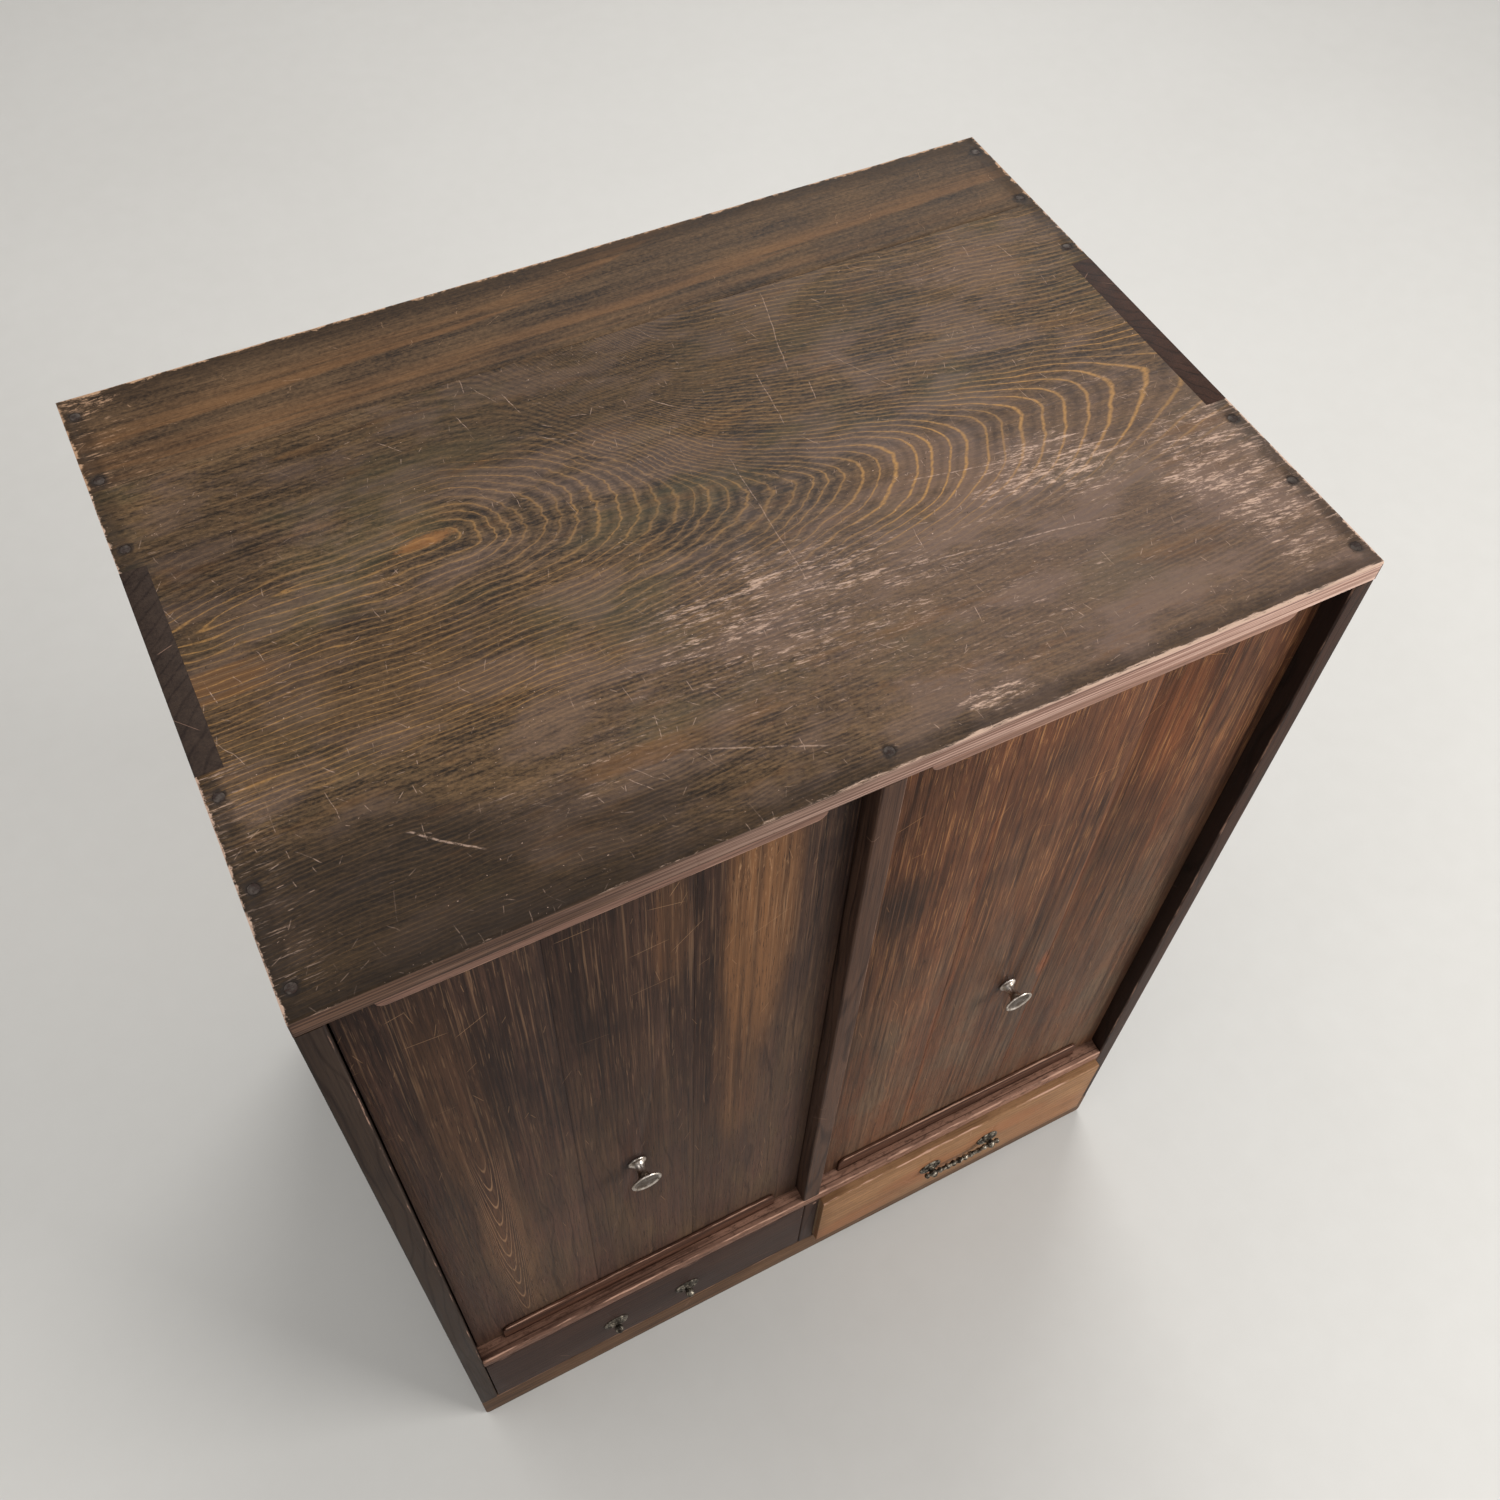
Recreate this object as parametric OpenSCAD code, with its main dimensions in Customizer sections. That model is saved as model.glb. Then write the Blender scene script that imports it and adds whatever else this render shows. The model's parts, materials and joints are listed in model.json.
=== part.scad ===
// Low plank cabinet: two lift-out doors over two drawers, in dark stained softwood.
// All lengths are in millimetres. X runs to the right, Y to the back and Z up.
// Places are worked out from the case front (y = 0) and moved to the frame's middle at the end.

/* [Case] */
// Width of the case over the side panels
case_w = 606; // [580:1:640]
// Depth of the case from the front edge to the back
case_d = 420; // [400:1:450]
// Height of the case with its top
case_h = 788; // [760:1:820]
// Thickness of each side panel
panel_t = 14; // [13:0.5:16]
// Thickness of the top boards
top_t = 15; // [13:0.5:18]
// Thickness of the board between the doors and the drawers
sill_t = 14; // [12:0.5:16]
// Thickness of the board that the drawers run on
bottom_t = 12; // [10:0.5:14]
// Height of the rail at the foot of the front
rail_h = 37; // [32:1:42]
// Thickness of the rail at the foot of the front
rail_t = 15; // [12:0.5:18]
// Radius of the lower corners of the rail
rail_corner_r = 4; // [2:0.5:8]
// Depth of the housings that the floor boards sit in
housing_d = 5; // [3:0.5:6]
// Distance that the sill's housing stops short of the front edge
housing_stop = 12; // [8:1:20]
// Thickness of the back planks
back_t = 7; // [5:0.5:9]
// Width of the rebate that the back planks sit in
back_rebate_w = 7; // [5:0.5:8]
// Width of the fixed post between the doors
post_w = 15; // [12:0.5:18]
// Width of the bevel on worn front edges
arris = 1; // [0.5:0.1:1.5]

/* [Doors] */
// Distance from the case front to the face of the doors
door_setback = 13; // [12:0.5:15]
// Thickness of the door boards
door_t = 13; // [11:0.5:15]
// Gap between a door and what stands beside it
door_gap = 1; // [0.6:0.1:1.5]
// Height that a door lifts to clear its lower strip
door_lift = 20.5; // [20.5:0.5:22]
// Distance from the left door's left edge to each of its two seams
left_door_seams = [103, 185];
// Distance from the right door's left edge to each of its two seams
right_door_seams = [82, 174];
// Length of the guide strips in front of the doors
strip_l = 236; // [200:1:250]
// Thickness of the guide strips
strip_t = 2.4; // [2:0.1:2.6]
// Height of the lower strips above the sill
lower_strip_h = 20; // [16:0.5:20]
// Height of the upper strips below the top
upper_strip_h = 25; // [24:0.5:27]
// Depth that the strips sit in their grooves
strip_groove = 3; // [2:0.5:4]
// Radius of the rounded corners of the strips
strip_corner_r = 6; // [3:0.5:8]
// Depth of the rails behind the doors
rear_stop_d = 10; // [8:0.5:14]
// Height of the lower rail behind the doors
lower_stop_h = 10; // [8:0.5:14]
// Width of a batten where it leaves the door boards
batten_neck_w = 26; // [22:1:34]
// Width of a batten at the bottom of its dovetail groove
batten_tail_w = 31; // [28:1:38]
// Depth of the dovetail grooves
batten_groove = 4; // [3:0.5:5]
// Height that the battens stand out from the boards
batten_out = 7; // [5:0.5:9]
// Distance from the battens to the ends of the door
batten_inset = 95; // [80:1:120]

/* [Knobs] */
// Height of the knobs above the floor
knob_z = 388; // [340:1:430]
// Distance of each knob to the right of the middle of its door
knob_shift = 3; // [-5:0.5:5]
// Diameter of the knob's dished face
knob_disc_d = 22; // [18:0.5:26]
// Diameter of the flange against the door
knob_flange_d = 13.4; // [11:0.2:16]
// Diameter of the knob's waist
knob_waist_d = 5.8; // [5:0.2:8]
// Distance that the knob stands out from the door
knob_reach = 16.5; // [15:0.5:20]
// Diameter of the knob's screw
knob_screw_d = 4.4; // [3.5:0.1:5]
// Length of the knob's screw in the door
knob_screw_l = 9; // [7:0.5:10]

/* [Drawers] */
// Height of the opening for the drawers
drawer_bay_h = 99; // [90:1:110]
// Thickness of the board between the drawers
divider_t = 14; // [12:0.5:16]
// Distance of the board between the drawers from the middle
divider_shift = 1.8; // [-3:0.1:3]
// Thickness of the drawer fronts
drawer_front_t = 18; // [15:0.5:20]
// Thickness of the drawer sides
drawer_side_t = 9; // [8:0.5:11]
// Thickness of the drawer backs
drawer_back_t = 9; // [8:0.5:11]
// Thickness of the drawer bottoms
drawer_bottom_t = 6; // [5:0.5:7]
// Wood left in front of the lap that the drawer sides sit in
drawer_lap = 6; // [5:0.5:8]
// Distance that the sides stand below the top of the front
drawer_side_drop = 5; // [3:0.5:8]
// Gap beside a drawer
drawer_side_gap = 0.8; // [0.5:0.1:1.2]
// Gap above a drawer
drawer_top_gap = 1.5; // [1:0.1:2.5]
// Distance that the right drawer stands out of the case
drawer_out = 6; // [0:0.5:20]
// Width of a drawer stop
stop_w = 30; // [20:1:40]
// Height of a drawer stop
stop_h = 22; // [15:1:30]
// Depth of a drawer stop, from the back planks to the drawer
stop_d = 17; // [12:1:24]

/* [Pulls] */
// Distance between the two posts on the left drawer
left_pull_l = 65; // [60:0.5:75]
// Distance between the two posts on the right drawer
right_pull_l = 59; // [56:0.5:75]
// Height of the left pull's posts above the floor
left_pull_z = 80; // [60:0.5:100]
// Height of the right pull's posts above the floor
right_pull_z = 89; // [60:0.5:100]
// Diameter of the rosettes
rosette_d = 21; // [18:0.5:24]
// Thickness of a rosette at its middle
rosette_t = 2.4; // [2:0.1:2.8]
// Distance from the drawer front to the bore of a post
pull_reach = 6.5; // [6.4:0.1:8]
// Diameter of the round head of a post
post_head_d = 7.6; // [7:0.1:7.8]
// Diameter of the stem of a post
post_stem_d = 4; // [3.4:0.1:4.6]
// Diameter of the bail where it turns in the posts
bail_pin_d = 3; // [2.6:0.1:3.2]
// Distance that the bail hangs below its pins
bail_drop = 11; // [9.5:0.5:14]
// Angle at which the bail hangs towards its drawer
bail_turn = 12; // [0:1:14]
// Diameter of the bail's bar between its beads
bail_bar_d = 3.6; // [3.2:0.1:4.4]
// Diameter of the beads on the bail
bail_bead_d = 5.4; // [5:0.1:6]
// Distance from one bead to the next
bead_step = 6; // [5.4:0.1:6.5]
// Width of a post's square nut
nut_w = 8; // [7:0.5:10]
// Thickness of a post's square nut
nut_t = 3; // [2:0.5:4]

/* [Nails] */
// Distance from the end of a comb finger to its first nail
nail_inset = 15.5; // [10:0.5:25]
// Diameter of the nail heads in the top
nail_head_d = 6; // [4:0.5:7]
// Diameter of the nails in the top
nail_d = 2.8; // [2:0.1:3.2]
// Length of the nails in the top
nail_l = 45; // [35:1:60]
// Distance from the seam of the top to the nails behind it
seam_to_nail = 7.5; // [5:0.5:10]
// Distance from the front edge to the nail in the post
post_nail_y = 9.8; // [7:0.2:16]
// Diameter of the nail heads in the back
back_nail_head_d = 4; // [3:0.5:5]
// Diameter of the nails in the back
back_nail_d = 1.8; // [1.5:0.1:2.2]
// Length of the nails in the back
back_nail_l = 24; // [18:1:30]
// Distance from a plank's edge to its nail
back_nail_inset = 40; // [20:1:60]

/* [Hidden] */

$fn = 48;
left = -1;
right = 1;
// Play between pieces that slide past each other
run_gap = 0.3;
// Play between a nail, screw or stem and its hole, on the radius
hole_fit = 0.05;
// Play between a batten and its groove, and between a strip and its groove
wood_fit = 0.1;
// Overshoot of a cut past the face that it leaves
over = 1;

// Comb joint of three equal fingers: the outer two belong to the top, the middle one to the side
finger_count = 3;
finger_l = case_d / finger_count;

side_x = case_w / 2;
inner_x = side_x - panel_t;
under_top_z = case_h - top_t;
back_y = case_d - back_t;
top_front_w = case_d - finger_l / 2 - seam_to_nail;
sill_z = rail_h + drawer_bay_h;
sill_top_z = sill_z + sill_t;

rear_stop_y = door_setback + door_t + run_gap;
bay_x = [post_w / 2, inner_x];
bay_mid_x = (bay_x[0] + bay_x[1]) / 2;
door_w = bay_x[1] - bay_x[0] - 2 * door_gap;
door_bottom_z = sill_top_z + run_gap;
door_top_z = under_top_z - door_lift - run_gap;
strip_y = door_setback - run_gap - strip_t;

drawer_l = back_y - stop_d - run_gap;
drawer_face_h = drawer_bay_h - run_gap - drawer_top_gap;
drawer_z = rail_h + run_gap;
drawer_side_top = drawer_face_h - drawer_side_drop;

plank_count = 4;
plank_h = under_top_z / plank_count;

front_reach = drawer_out + pull_reach + post_head_d / 2;
frame_mid_y = (case_d - front_reach) / 2;

dark_wood = [0.20, 0.13, 0.10];
top_wood = [0.23, 0.18, 0.13];
door_wood = [0.28, 0.17, 0.11];
light_wood = [0.52, 0.37, 0.25];
raw_wood = [0.60, 0.47, 0.33];
nickel = [0.62, 0.59, 0.55];
iron = [0.16, 0.14, 0.12];

// Basic shapes

module block(low, high) {
    translate(low) cube(high - low);
}

// Board along X with its two front edges bevelled
module eased_board(l, d, h) {
    rotate([90, 0, 90])
        linear_extrude(l)
            polygon([[arris, 0], [d, 0], [d, h], [arris, h], [0, h - arris], [0, arris]]);
}

// Upright along Z with its two front edges bevelled
module eased_post(w, d, h) {
    linear_extrude(h)
        polygon([[arris, 0], [w - arris, 0], [w, arris], [w, d], [0, d], [0, arris]]);
}

// Rectangle whose two upper corners are round
module round_topped(w, h, r) {
    square([w, h - r]);
    translate([r, 0]) square([w - 2 * r, h]);
    for (x = [r, w - r])
        translate([x, h - r]) circle(r);
}

// Stem or hole that points along +Y from the given place
module along_y(at, d, l) {
    translate(at) rotate([-90, 0, 0]) cylinder(d = d, h = l);
}

module placed() {
    translate([0, -frame_mid_y, 0]) children();
}

// Nails

function finger_nails(k) = [k * finger_l + nail_inset, (k + 0.5) * finger_l, (k + 1) * finger_l - nail_inset];
nail_rows = concat(finger_nails(0), finger_nails(finger_count - 1));
nail_head_t = 0.8;
back_nail_x = inner_x + back_rebate_w / 2;

module nail(head_d, d, l) {
    translate([0, 0, -nail_head_t]) cylinder(d = head_d, h = nail_head_t);
    translate([0, 0, -l]) cylinder(d = d, h = l - nail_head_t / 2);
}

module at_top_nails() {
    for (s = [left, right], y = nail_rows)
        translate([s * (side_x - panel_t / 2), y, case_h]) children();
    translate([0, post_nail_y, case_h]) children();
}

module at_back_nails() {
    for (s = [left, right], k = [0 : plank_count - 1], z = [back_nail_inset, plank_h - back_nail_inset])
        translate([s * back_nail_x, case_d, k * plank_h + z]) rotate([-90, 0, 0]) children();
}

module top_nail_holes() {
    at_top_nails() nail(nail_head_d + 2 * hole_fit, nail_d + 2 * hole_fit, nail_l + run_gap);
}

module back_nail_holes() {
    at_back_nails() nail(back_nail_head_d + 2 * hole_fit, back_nail_d + 2 * hole_fit, back_nail_l + run_gap);
}

module top_nails() {
    color(iron) placed() at_top_nails() nail(nail_head_d, nail_d, nail_l);
}

module back_nails() {
    color(iron) placed() at_back_nails() nail(back_nail_head_d, back_nail_d, back_nail_l);
}

// Case

module strip_grooves(z) {
    for (s = [left, right])
        block([s * bay_mid_x - strip_l / 2 - wood_fit, strip_y - wood_fit, z],
              [s * bay_mid_x + strip_l / 2 + wood_fit, strip_y + strip_t + wood_fit, z + strip_groove + over]);
}

module finger_sockets() {
    for (s = [left, right])
        block([s > 0 ? inner_x : -side_x - over, finger_l, under_top_z - over],
              [s > 0 ? side_x + over : -inner_x, 2 * finger_l, case_h + over]);
}

module top_front_board() {
    color(top_wood) placed() difference() {
        translate([-side_x, 0, under_top_z]) eased_board(case_w, top_front_w, top_t);
        finger_sockets();
        strip_grooves(under_top_z - over);
        top_nail_holes();
    }
}

module top_back_board() {
    color(top_wood) placed() difference() {
        block([-side_x, top_front_w, under_top_z], [side_x, case_d, case_h]);
        finger_sockets();
        top_nail_holes();
    }
}

module side_panel(s) {
    color(dark_wood) placed() difference() {
        mirror([s > 0 ? 1 : 0, 0, 0]) difference() {
            translate([-side_x, 0, 0]) union() {
                eased_post(panel_t, case_d, under_top_z);
                block([0, finger_l, under_top_z], [panel_t, 2 * finger_l, case_h]);
            }
            block([-side_x - over, -over, -over], [-inner_x + over, rail_t, rail_h]);
            block([-inner_x - housing_d, housing_stop, sill_z], [-inner_x + over, case_d + over, sill_top_z]);
            block([-inner_x - housing_d, rail_t, rail_h - bottom_t], [-inner_x + over, case_d + over, rail_h]);
            block([-inner_x - back_rebate_w, back_y, -over], [-inner_x + over, case_d + over, case_h]);
        }
        top_nail_holes();
        back_nail_holes();
    }
}

module sill_board() {
    housed_x = inner_x + housing_d;
    color(dark_wood) placed() difference() {
        translate([-housed_x, 0, sill_z]) eased_board(2 * housed_x, back_y, sill_t);
        for (s = [left, right])
            block([s > 0 ? inner_x : -housed_x - over, -over, sill_z - over],
                  [s > 0 ? housed_x + over : -inner_x, housing_stop, sill_top_z + over]);
        strip_grooves(sill_top_z - strip_groove);
        back_nail_holes();
    }
}

module bottom_board() {
    housed_x = inner_x + housing_d;
    color(raw_wood) placed() difference() {
        block([-housed_x, rail_t, rail_h - bottom_t], [housed_x, back_y, rail_h]);
        back_nail_holes();
    }
}

module base_rail() {
    color(dark_wood) placed()
        translate([side_x, 0, rail_h]) rotate([0, 180, 0]) rotate([90, 0, 0])
            translate([0, 0, -rail_t]) linear_extrude(rail_t) round_topped(case_w, rail_h, rail_corner_r);
}

module centre_post() {
    color(dark_wood) placed() difference() {
        translate([-post_w / 2, 0, sill_top_z]) eased_post(post_w, rear_stop_y, under_top_z - sill_top_z);
        top_nail_holes();
    }
}

module drawer_divider() {
    color(dark_wood) placed()
        translate([divider_shift - divider_t / 2, 0, rail_h]) eased_post(divider_t, back_y, drawer_bay_h);
}

module strip(s, h) {
    translate([s * bay_mid_x - strip_l / 2, strip_y + strip_t, 0])
        rotate([90, 0, 0]) linear_extrude(strip_t) round_topped(strip_l, h + strip_groove, strip_corner_r);
}

module lower_strip(s) {
    color(dark_wood) placed() translate([0, 0, sill_top_z - strip_groove]) strip(s, lower_strip_h);
}

module upper_strip(s) {
    color(dark_wood) placed()
        translate([0, 0, under_top_z + strip_groove]) mirror([0, 0, 1]) strip(s, upper_strip_h);
}

module rear_stop(low_z, high_z) {
    color(raw_wood) placed() block([-inner_x, rear_stop_y, low_z], [inner_x, rear_stop_y + rear_stop_d, high_z]);
}

module drawer_stops() {
    color(raw_wood) placed()
        for (s = [left, right], end = [0, 1]) {
            x = drawer_x(s)[0] + drawer_side_t + end * (drawer_w(s) - 2 * drawer_side_t - stop_w);
            block([x, drawer_l + run_gap, rail_h], [x + stop_w, back_y, rail_h + stop_h]);
        }
}

module back_plank(k) {
    plank_x = inner_x + back_rebate_w;
    color(raw_wood) placed() difference() {
        block([-plank_x, back_y, (k - 1) * plank_h], [plank_x, case_d, k * plank_h]);
        back_nail_holes();
    }
}

// Doors

function door_x(s) = s * bay_mid_x - door_w / 2;
function knob_x(s) = s * bay_mid_x + knob_shift;
function door_seams(s) = concat(0, s > 0 ? right_door_seams : left_door_seams, door_w);

// Cross-section of a batten, with its tail pointing to the front
module batten_outline(fit) {
    polygon([
        [-batten_groove - fit, -batten_tail_w / 2 - fit], [0, -batten_neck_w / 2 - fit],
        [batten_out, -batten_neck_w / 2 - fit], [batten_out, batten_neck_w / 2 + fit],
        [0, batten_neck_w / 2 + fit], [-batten_groove - fit, batten_tail_w / 2 + fit]
    ]);
}

module batten_shape(s, upper, fit) {
    z = upper ? door_top_z - batten_inset : door_bottom_z + batten_inset;
    translate([door_x(s) - fit, door_setback + door_t, z])
        rotate([90, 0, 90]) linear_extrude(door_w + 2 * fit) batten_outline(fit);
}

module door_batten(s, upper) {
    color(raw_wood) placed() batten_shape(s, upper, 0);
}

module door_board(s, k) {
    x = door_x(s);
    edges = door_seams(s);
    color(door_wood) placed() difference() {
        block([x + edges[k - 1], door_setback, door_bottom_z], [x + edges[k], door_setback + door_t, door_top_z]);
        batten_shape(s, true, wood_fit);
        batten_shape(s, false, wood_fit);
        along_y([knob_x(s), door_setback - over, knob_z], knob_screw_d + 2 * hole_fit,
                knob_screw_l + run_gap + over);
    }
}

// Knob: screw, flange, a hollow curve in to the waist and out to the dished disc
knob_flange_t = 2.2;
knob_disc_t = 2;
knob_dish = 1.6;
knob_rim_w = 1.4;
cove_steps = 14;
cove_power = 2.6;

module knob(s) {
    cove_low = knob_flange_t;
    cove_high = knob_reach - knob_disc_t;
    cove_r = knob_flange_d / 2 - 1.2;
    waist_r = knob_waist_d / 2;
    cove = [for (i = [0 : cove_steps])
        let (t = i / cove_steps)
        [waist_r + (cove_r - waist_r) * pow(abs(2 * t - 1), cove_power), cove_low + t * (cove_high - cove_low)]];
    disc_r = knob_disc_d / 2;
    outline = concat(
        [[0, -knob_screw_l], [knob_screw_d / 2, -knob_screw_l], [knob_screw_d / 2, 0]],
        [[knob_flange_d / 2, 0], [knob_flange_d / 2, knob_flange_t - 0.8]],
        cove,
        [[disc_r - 1.2, cove_high + 0.4], [disc_r, cove_high + 1], [disc_r, knob_reach - 0.5]],
        [[disc_r - 0.5, knob_reach], [disc_r - knob_rim_w, knob_reach - 0.2]],
        [[disc_r - 2 * knob_rim_w, knob_reach - knob_dish], [0, knob_reach - knob_dish + 0.4]]
    );
    color(nickel) placed()
        translate([knob_x(s), door_setback, knob_z]) rotate([90, 0, 0]) rotate_extrude() polygon(outline);
}

// Drawers

function drawer_x(s) = s > 0
    ? [divider_shift + divider_t / 2 + drawer_side_gap, inner_x - drawer_side_gap]
    : [-inner_x + drawer_side_gap, divider_shift - divider_t / 2 - drawer_side_gap];
function drawer_w(s) = drawer_x(s)[1] - drawer_x(s)[0];
function drawer_rest_y(s) = s > 0 ? -drawer_out : 0;
function pull_l(s) = s > 0 ? right_pull_l : left_pull_l;
function pull_up(s) = (s > 0 ? right_pull_z : left_pull_z) - drawer_z;
function drawer_wood(s) = s > 0 ? light_wood : dark_wood;

// Moves a drawer's piece, drawn from the drawer's lower left front corner, to its place
module in_drawer(s) {
    placed() translate([drawer_x(s)[0], drawer_rest_y(s), drawer_z]) children();
}

// Places a pull's piece at both posts of a drawer, with +Z pointing out of its front
module at_posts(s) {
    in_drawer(s)
        for (e = [left, right])
            translate([drawer_w(s) / 2 + e * pull_l(s) / 2, 0, pull_up(s)]) rotate([90, 0, 0]) children();
}

module drawer_front(s) {
    w = drawer_w(s);
    color(drawer_wood(s)) difference() {
        in_drawer(s) difference() {
            eased_board(w, drawer_front_t, drawer_face_h);
            for (x = [-over, w - drawer_side_t])
                block([x, drawer_lap, -over], [x + drawer_side_t + over, drawer_front_t + over, drawer_side_top]);
            block([-over, drawer_lap, -over], [w + over, drawer_front_t + over, drawer_bottom_t]);
        }
        at_posts(s)
            translate([0, 0, -drawer_front_t - over])
                cylinder(d = post_stem_d + 2 * hole_fit, h = drawer_front_t + 2 * over);
    }
}

module drawer_side(s, e) {
    x = e > 0 ? drawer_w(s) - drawer_side_t : 0;
    color(raw_wood) in_drawer(s)
        block([x, drawer_lap, drawer_bottom_t], [x + drawer_side_t, drawer_l, drawer_side_top]);
}

module drawer_back(s) {
    color(raw_wood) in_drawer(s)
        block([drawer_side_t, drawer_l - drawer_back_t, drawer_bottom_t],
              [drawer_w(s) - drawer_side_t, drawer_l, drawer_side_top]);
}

module drawer_bottom(s) {
    color(raw_wood) in_drawer(s) block([0, drawer_lap, 0], [drawer_w(s), drawer_l, drawer_bottom_t]);
}

// Drawer pulls

rosette_rim_t = 1.5;
rosette_edge_t = 0.8;

module rosettes(s) {
    r = rosette_d / 2;
    hole_r = post_stem_d / 2 + hole_fit;
    color(iron) at_posts(s) rotate_extrude() polygon([
        [hole_r, 0], [r, 0], [r, rosette_edge_t], [r - 0.8, rosette_rim_t], [r - 1.8, rosette_rim_t],
        [r - 2.8, rosette_edge_t], [r - 4.4, rosette_edge_t + 0.3], [r - 6.4, rosette_t], [hole_r, rosette_t]
    ]);
}

module eye_posts(s) {
    color(iron) at_posts(s) difference() {
        union() {
            translate([0, 0, -drawer_front_t - nut_t - 1])
                cylinder(d = post_stem_d, h = drawer_front_t + nut_t + 1 + pull_reach);
            translate([0, 0, rosette_t]) cylinder(d = post_head_d - 1, h = 1);
            translate([0, 0, pull_reach]) sphere(d = post_head_d);
        }
        translate([-post_head_d, 0, pull_reach]) rotate([0, 90, 0])
            cylinder(d = bail_pin_d + 2 * hole_fit, h = 2 * post_head_d);
    }
}

module post_nuts(s) {
    color(iron) at_posts(s)
        translate([-nut_w / 2, -nut_w / 2, -drawer_front_t - nut_t]) difference() {
            cube([nut_w, nut_w, nut_t]);
            translate([nut_w / 2, nut_w / 2, -over]) cylinder(d = post_stem_d + 2 * hole_fit, h = nut_t + 2 * over);
        }
}

// Bail: two pins through the posts, two arms and a beaded bar
bail_arm_d = 3.2;
bail_ball_d = 4.8;
bail_lean = 3;
bead_count = 5;

module rod(from, to, d) {
    v = to - from;
    l = norm(v);
    translate(from) rotate([0, acos(v[2] / l), atan2(v[1], v[0])]) cylinder(d = d, h = l);
}

module right_bail() {
    pin_end = right_pull_l / 2 + post_head_d / 2 + run_gap + bail_ball_d / 2;
    arm_top = right_pull_l / 2 - post_head_d / 2 - run_gap - bail_ball_d / 2;
    arm_low = arm_top - bail_lean;
    color(iron) in_drawer(right)
        translate([drawer_w(right) / 2, -pull_reach, pull_up(right)]) rotate([bail_turn, 0, 0]) {
            for (e = [left, right]) {
                rod([e * arm_top, 0, 0], [e * pin_end, 0, 0], bail_pin_d);
                translate([e * pin_end, 0, 0]) rotate([0, 90, 0]) sphere(d = bail_ball_d);
                translate([e * arm_top, 0, 0]) sphere(d = bail_ball_d);
                rod([e * arm_top, 0, 0], [e * arm_low, 0, -bail_drop], bail_arm_d);
                translate([e * arm_low, 0, -bail_drop]) sphere(d = bail_ball_d);
            }
            rod([-arm_low, 0, -bail_drop], [arm_low, 0, -bail_drop], bail_bar_d);
            for (k = [0 : bead_count - 1])
                translate([(k - (bead_count - 1) / 2) * bead_step, 0, -bail_drop])
                    rotate([0, 90, 0]) sphere(d = bail_bead_d);
        }
}

top_front_board();
top_back_board();
side_panel(left);  // left_side
side_panel(right);  // right_side
sill_board();
bottom_board();
base_rail();
centre_post();
drawer_divider();
upper_strip(left);  // upper_left_strip
upper_strip(right);  // upper_right_strip
lower_strip(left);  // lower_left_strip
lower_strip(right);  // lower_right_strip
rear_stop(under_top_z - upper_strip_h, under_top_z);  // upper_rear_stop
rear_stop(sill_top_z, sill_top_z + lower_stop_h);  // lower_rear_stop
drawer_stops();
back_plank(1);  // back_plank_1
back_plank(2);  // back_plank_2
back_plank(3);  // back_plank_3
back_plank(4);  // back_plank_4
top_nails();
back_nails();
door_board(left, 1);  // left_door_board_1
door_board(left, 2);  // left_door_board_2
door_board(left, 3);  // left_door_board_3
door_batten(left, true);  // left_door_upper_batten
door_batten(left, false);  // left_door_lower_batten
knob(left);  // left_knob
door_board(right, 1);  // right_door_board_1
door_board(right, 2);  // right_door_board_2
door_board(right, 3);  // right_door_board_3
door_batten(right, true);  // right_door_upper_batten
door_batten(right, false);  // right_door_lower_batten
knob(right);  // right_knob
drawer_front(left);  // left_drawer_front
drawer_side(left, left);  // left_drawer_left_side
drawer_side(left, right);  // left_drawer_right_side
drawer_back(left);  // left_drawer_back
drawer_bottom(left);  // left_drawer_bottom
rosettes(left);  // left_rosettes
eye_posts(left);  // left_eye_posts
post_nuts(left);  // left_post_nuts
drawer_front(right);  // right_drawer_front
drawer_side(right, left);  // right_drawer_left_side
drawer_side(right, right);  // right_drawer_right_side
drawer_back(right);  // right_drawer_back
drawer_bottom(right);  // right_drawer_bottom
rosettes(right);  // right_rosettes
eye_posts(right);  // right_eye_posts
post_nuts(right);  // right_post_nuts
right_bail();
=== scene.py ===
"""Looks of a low plank cabinet: two lift-out doors over two drawers, in dark stained softwood.

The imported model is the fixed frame. Its boards, nails and pulls are copied and eased, some of the
boards are worn at their edges, the two knobs are turned anew, and every surface gets a finish made of
shader nodes.
"""
import json
import logging
import math
from abc import ABC, abstractmethod
from contextlib import contextmanager
from dataclasses import dataclass, field
from enum import Enum
from typing import Iterator, Optional, Sequence, Union

import bpy
from mathutils import Matrix, Vector, noise

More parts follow.
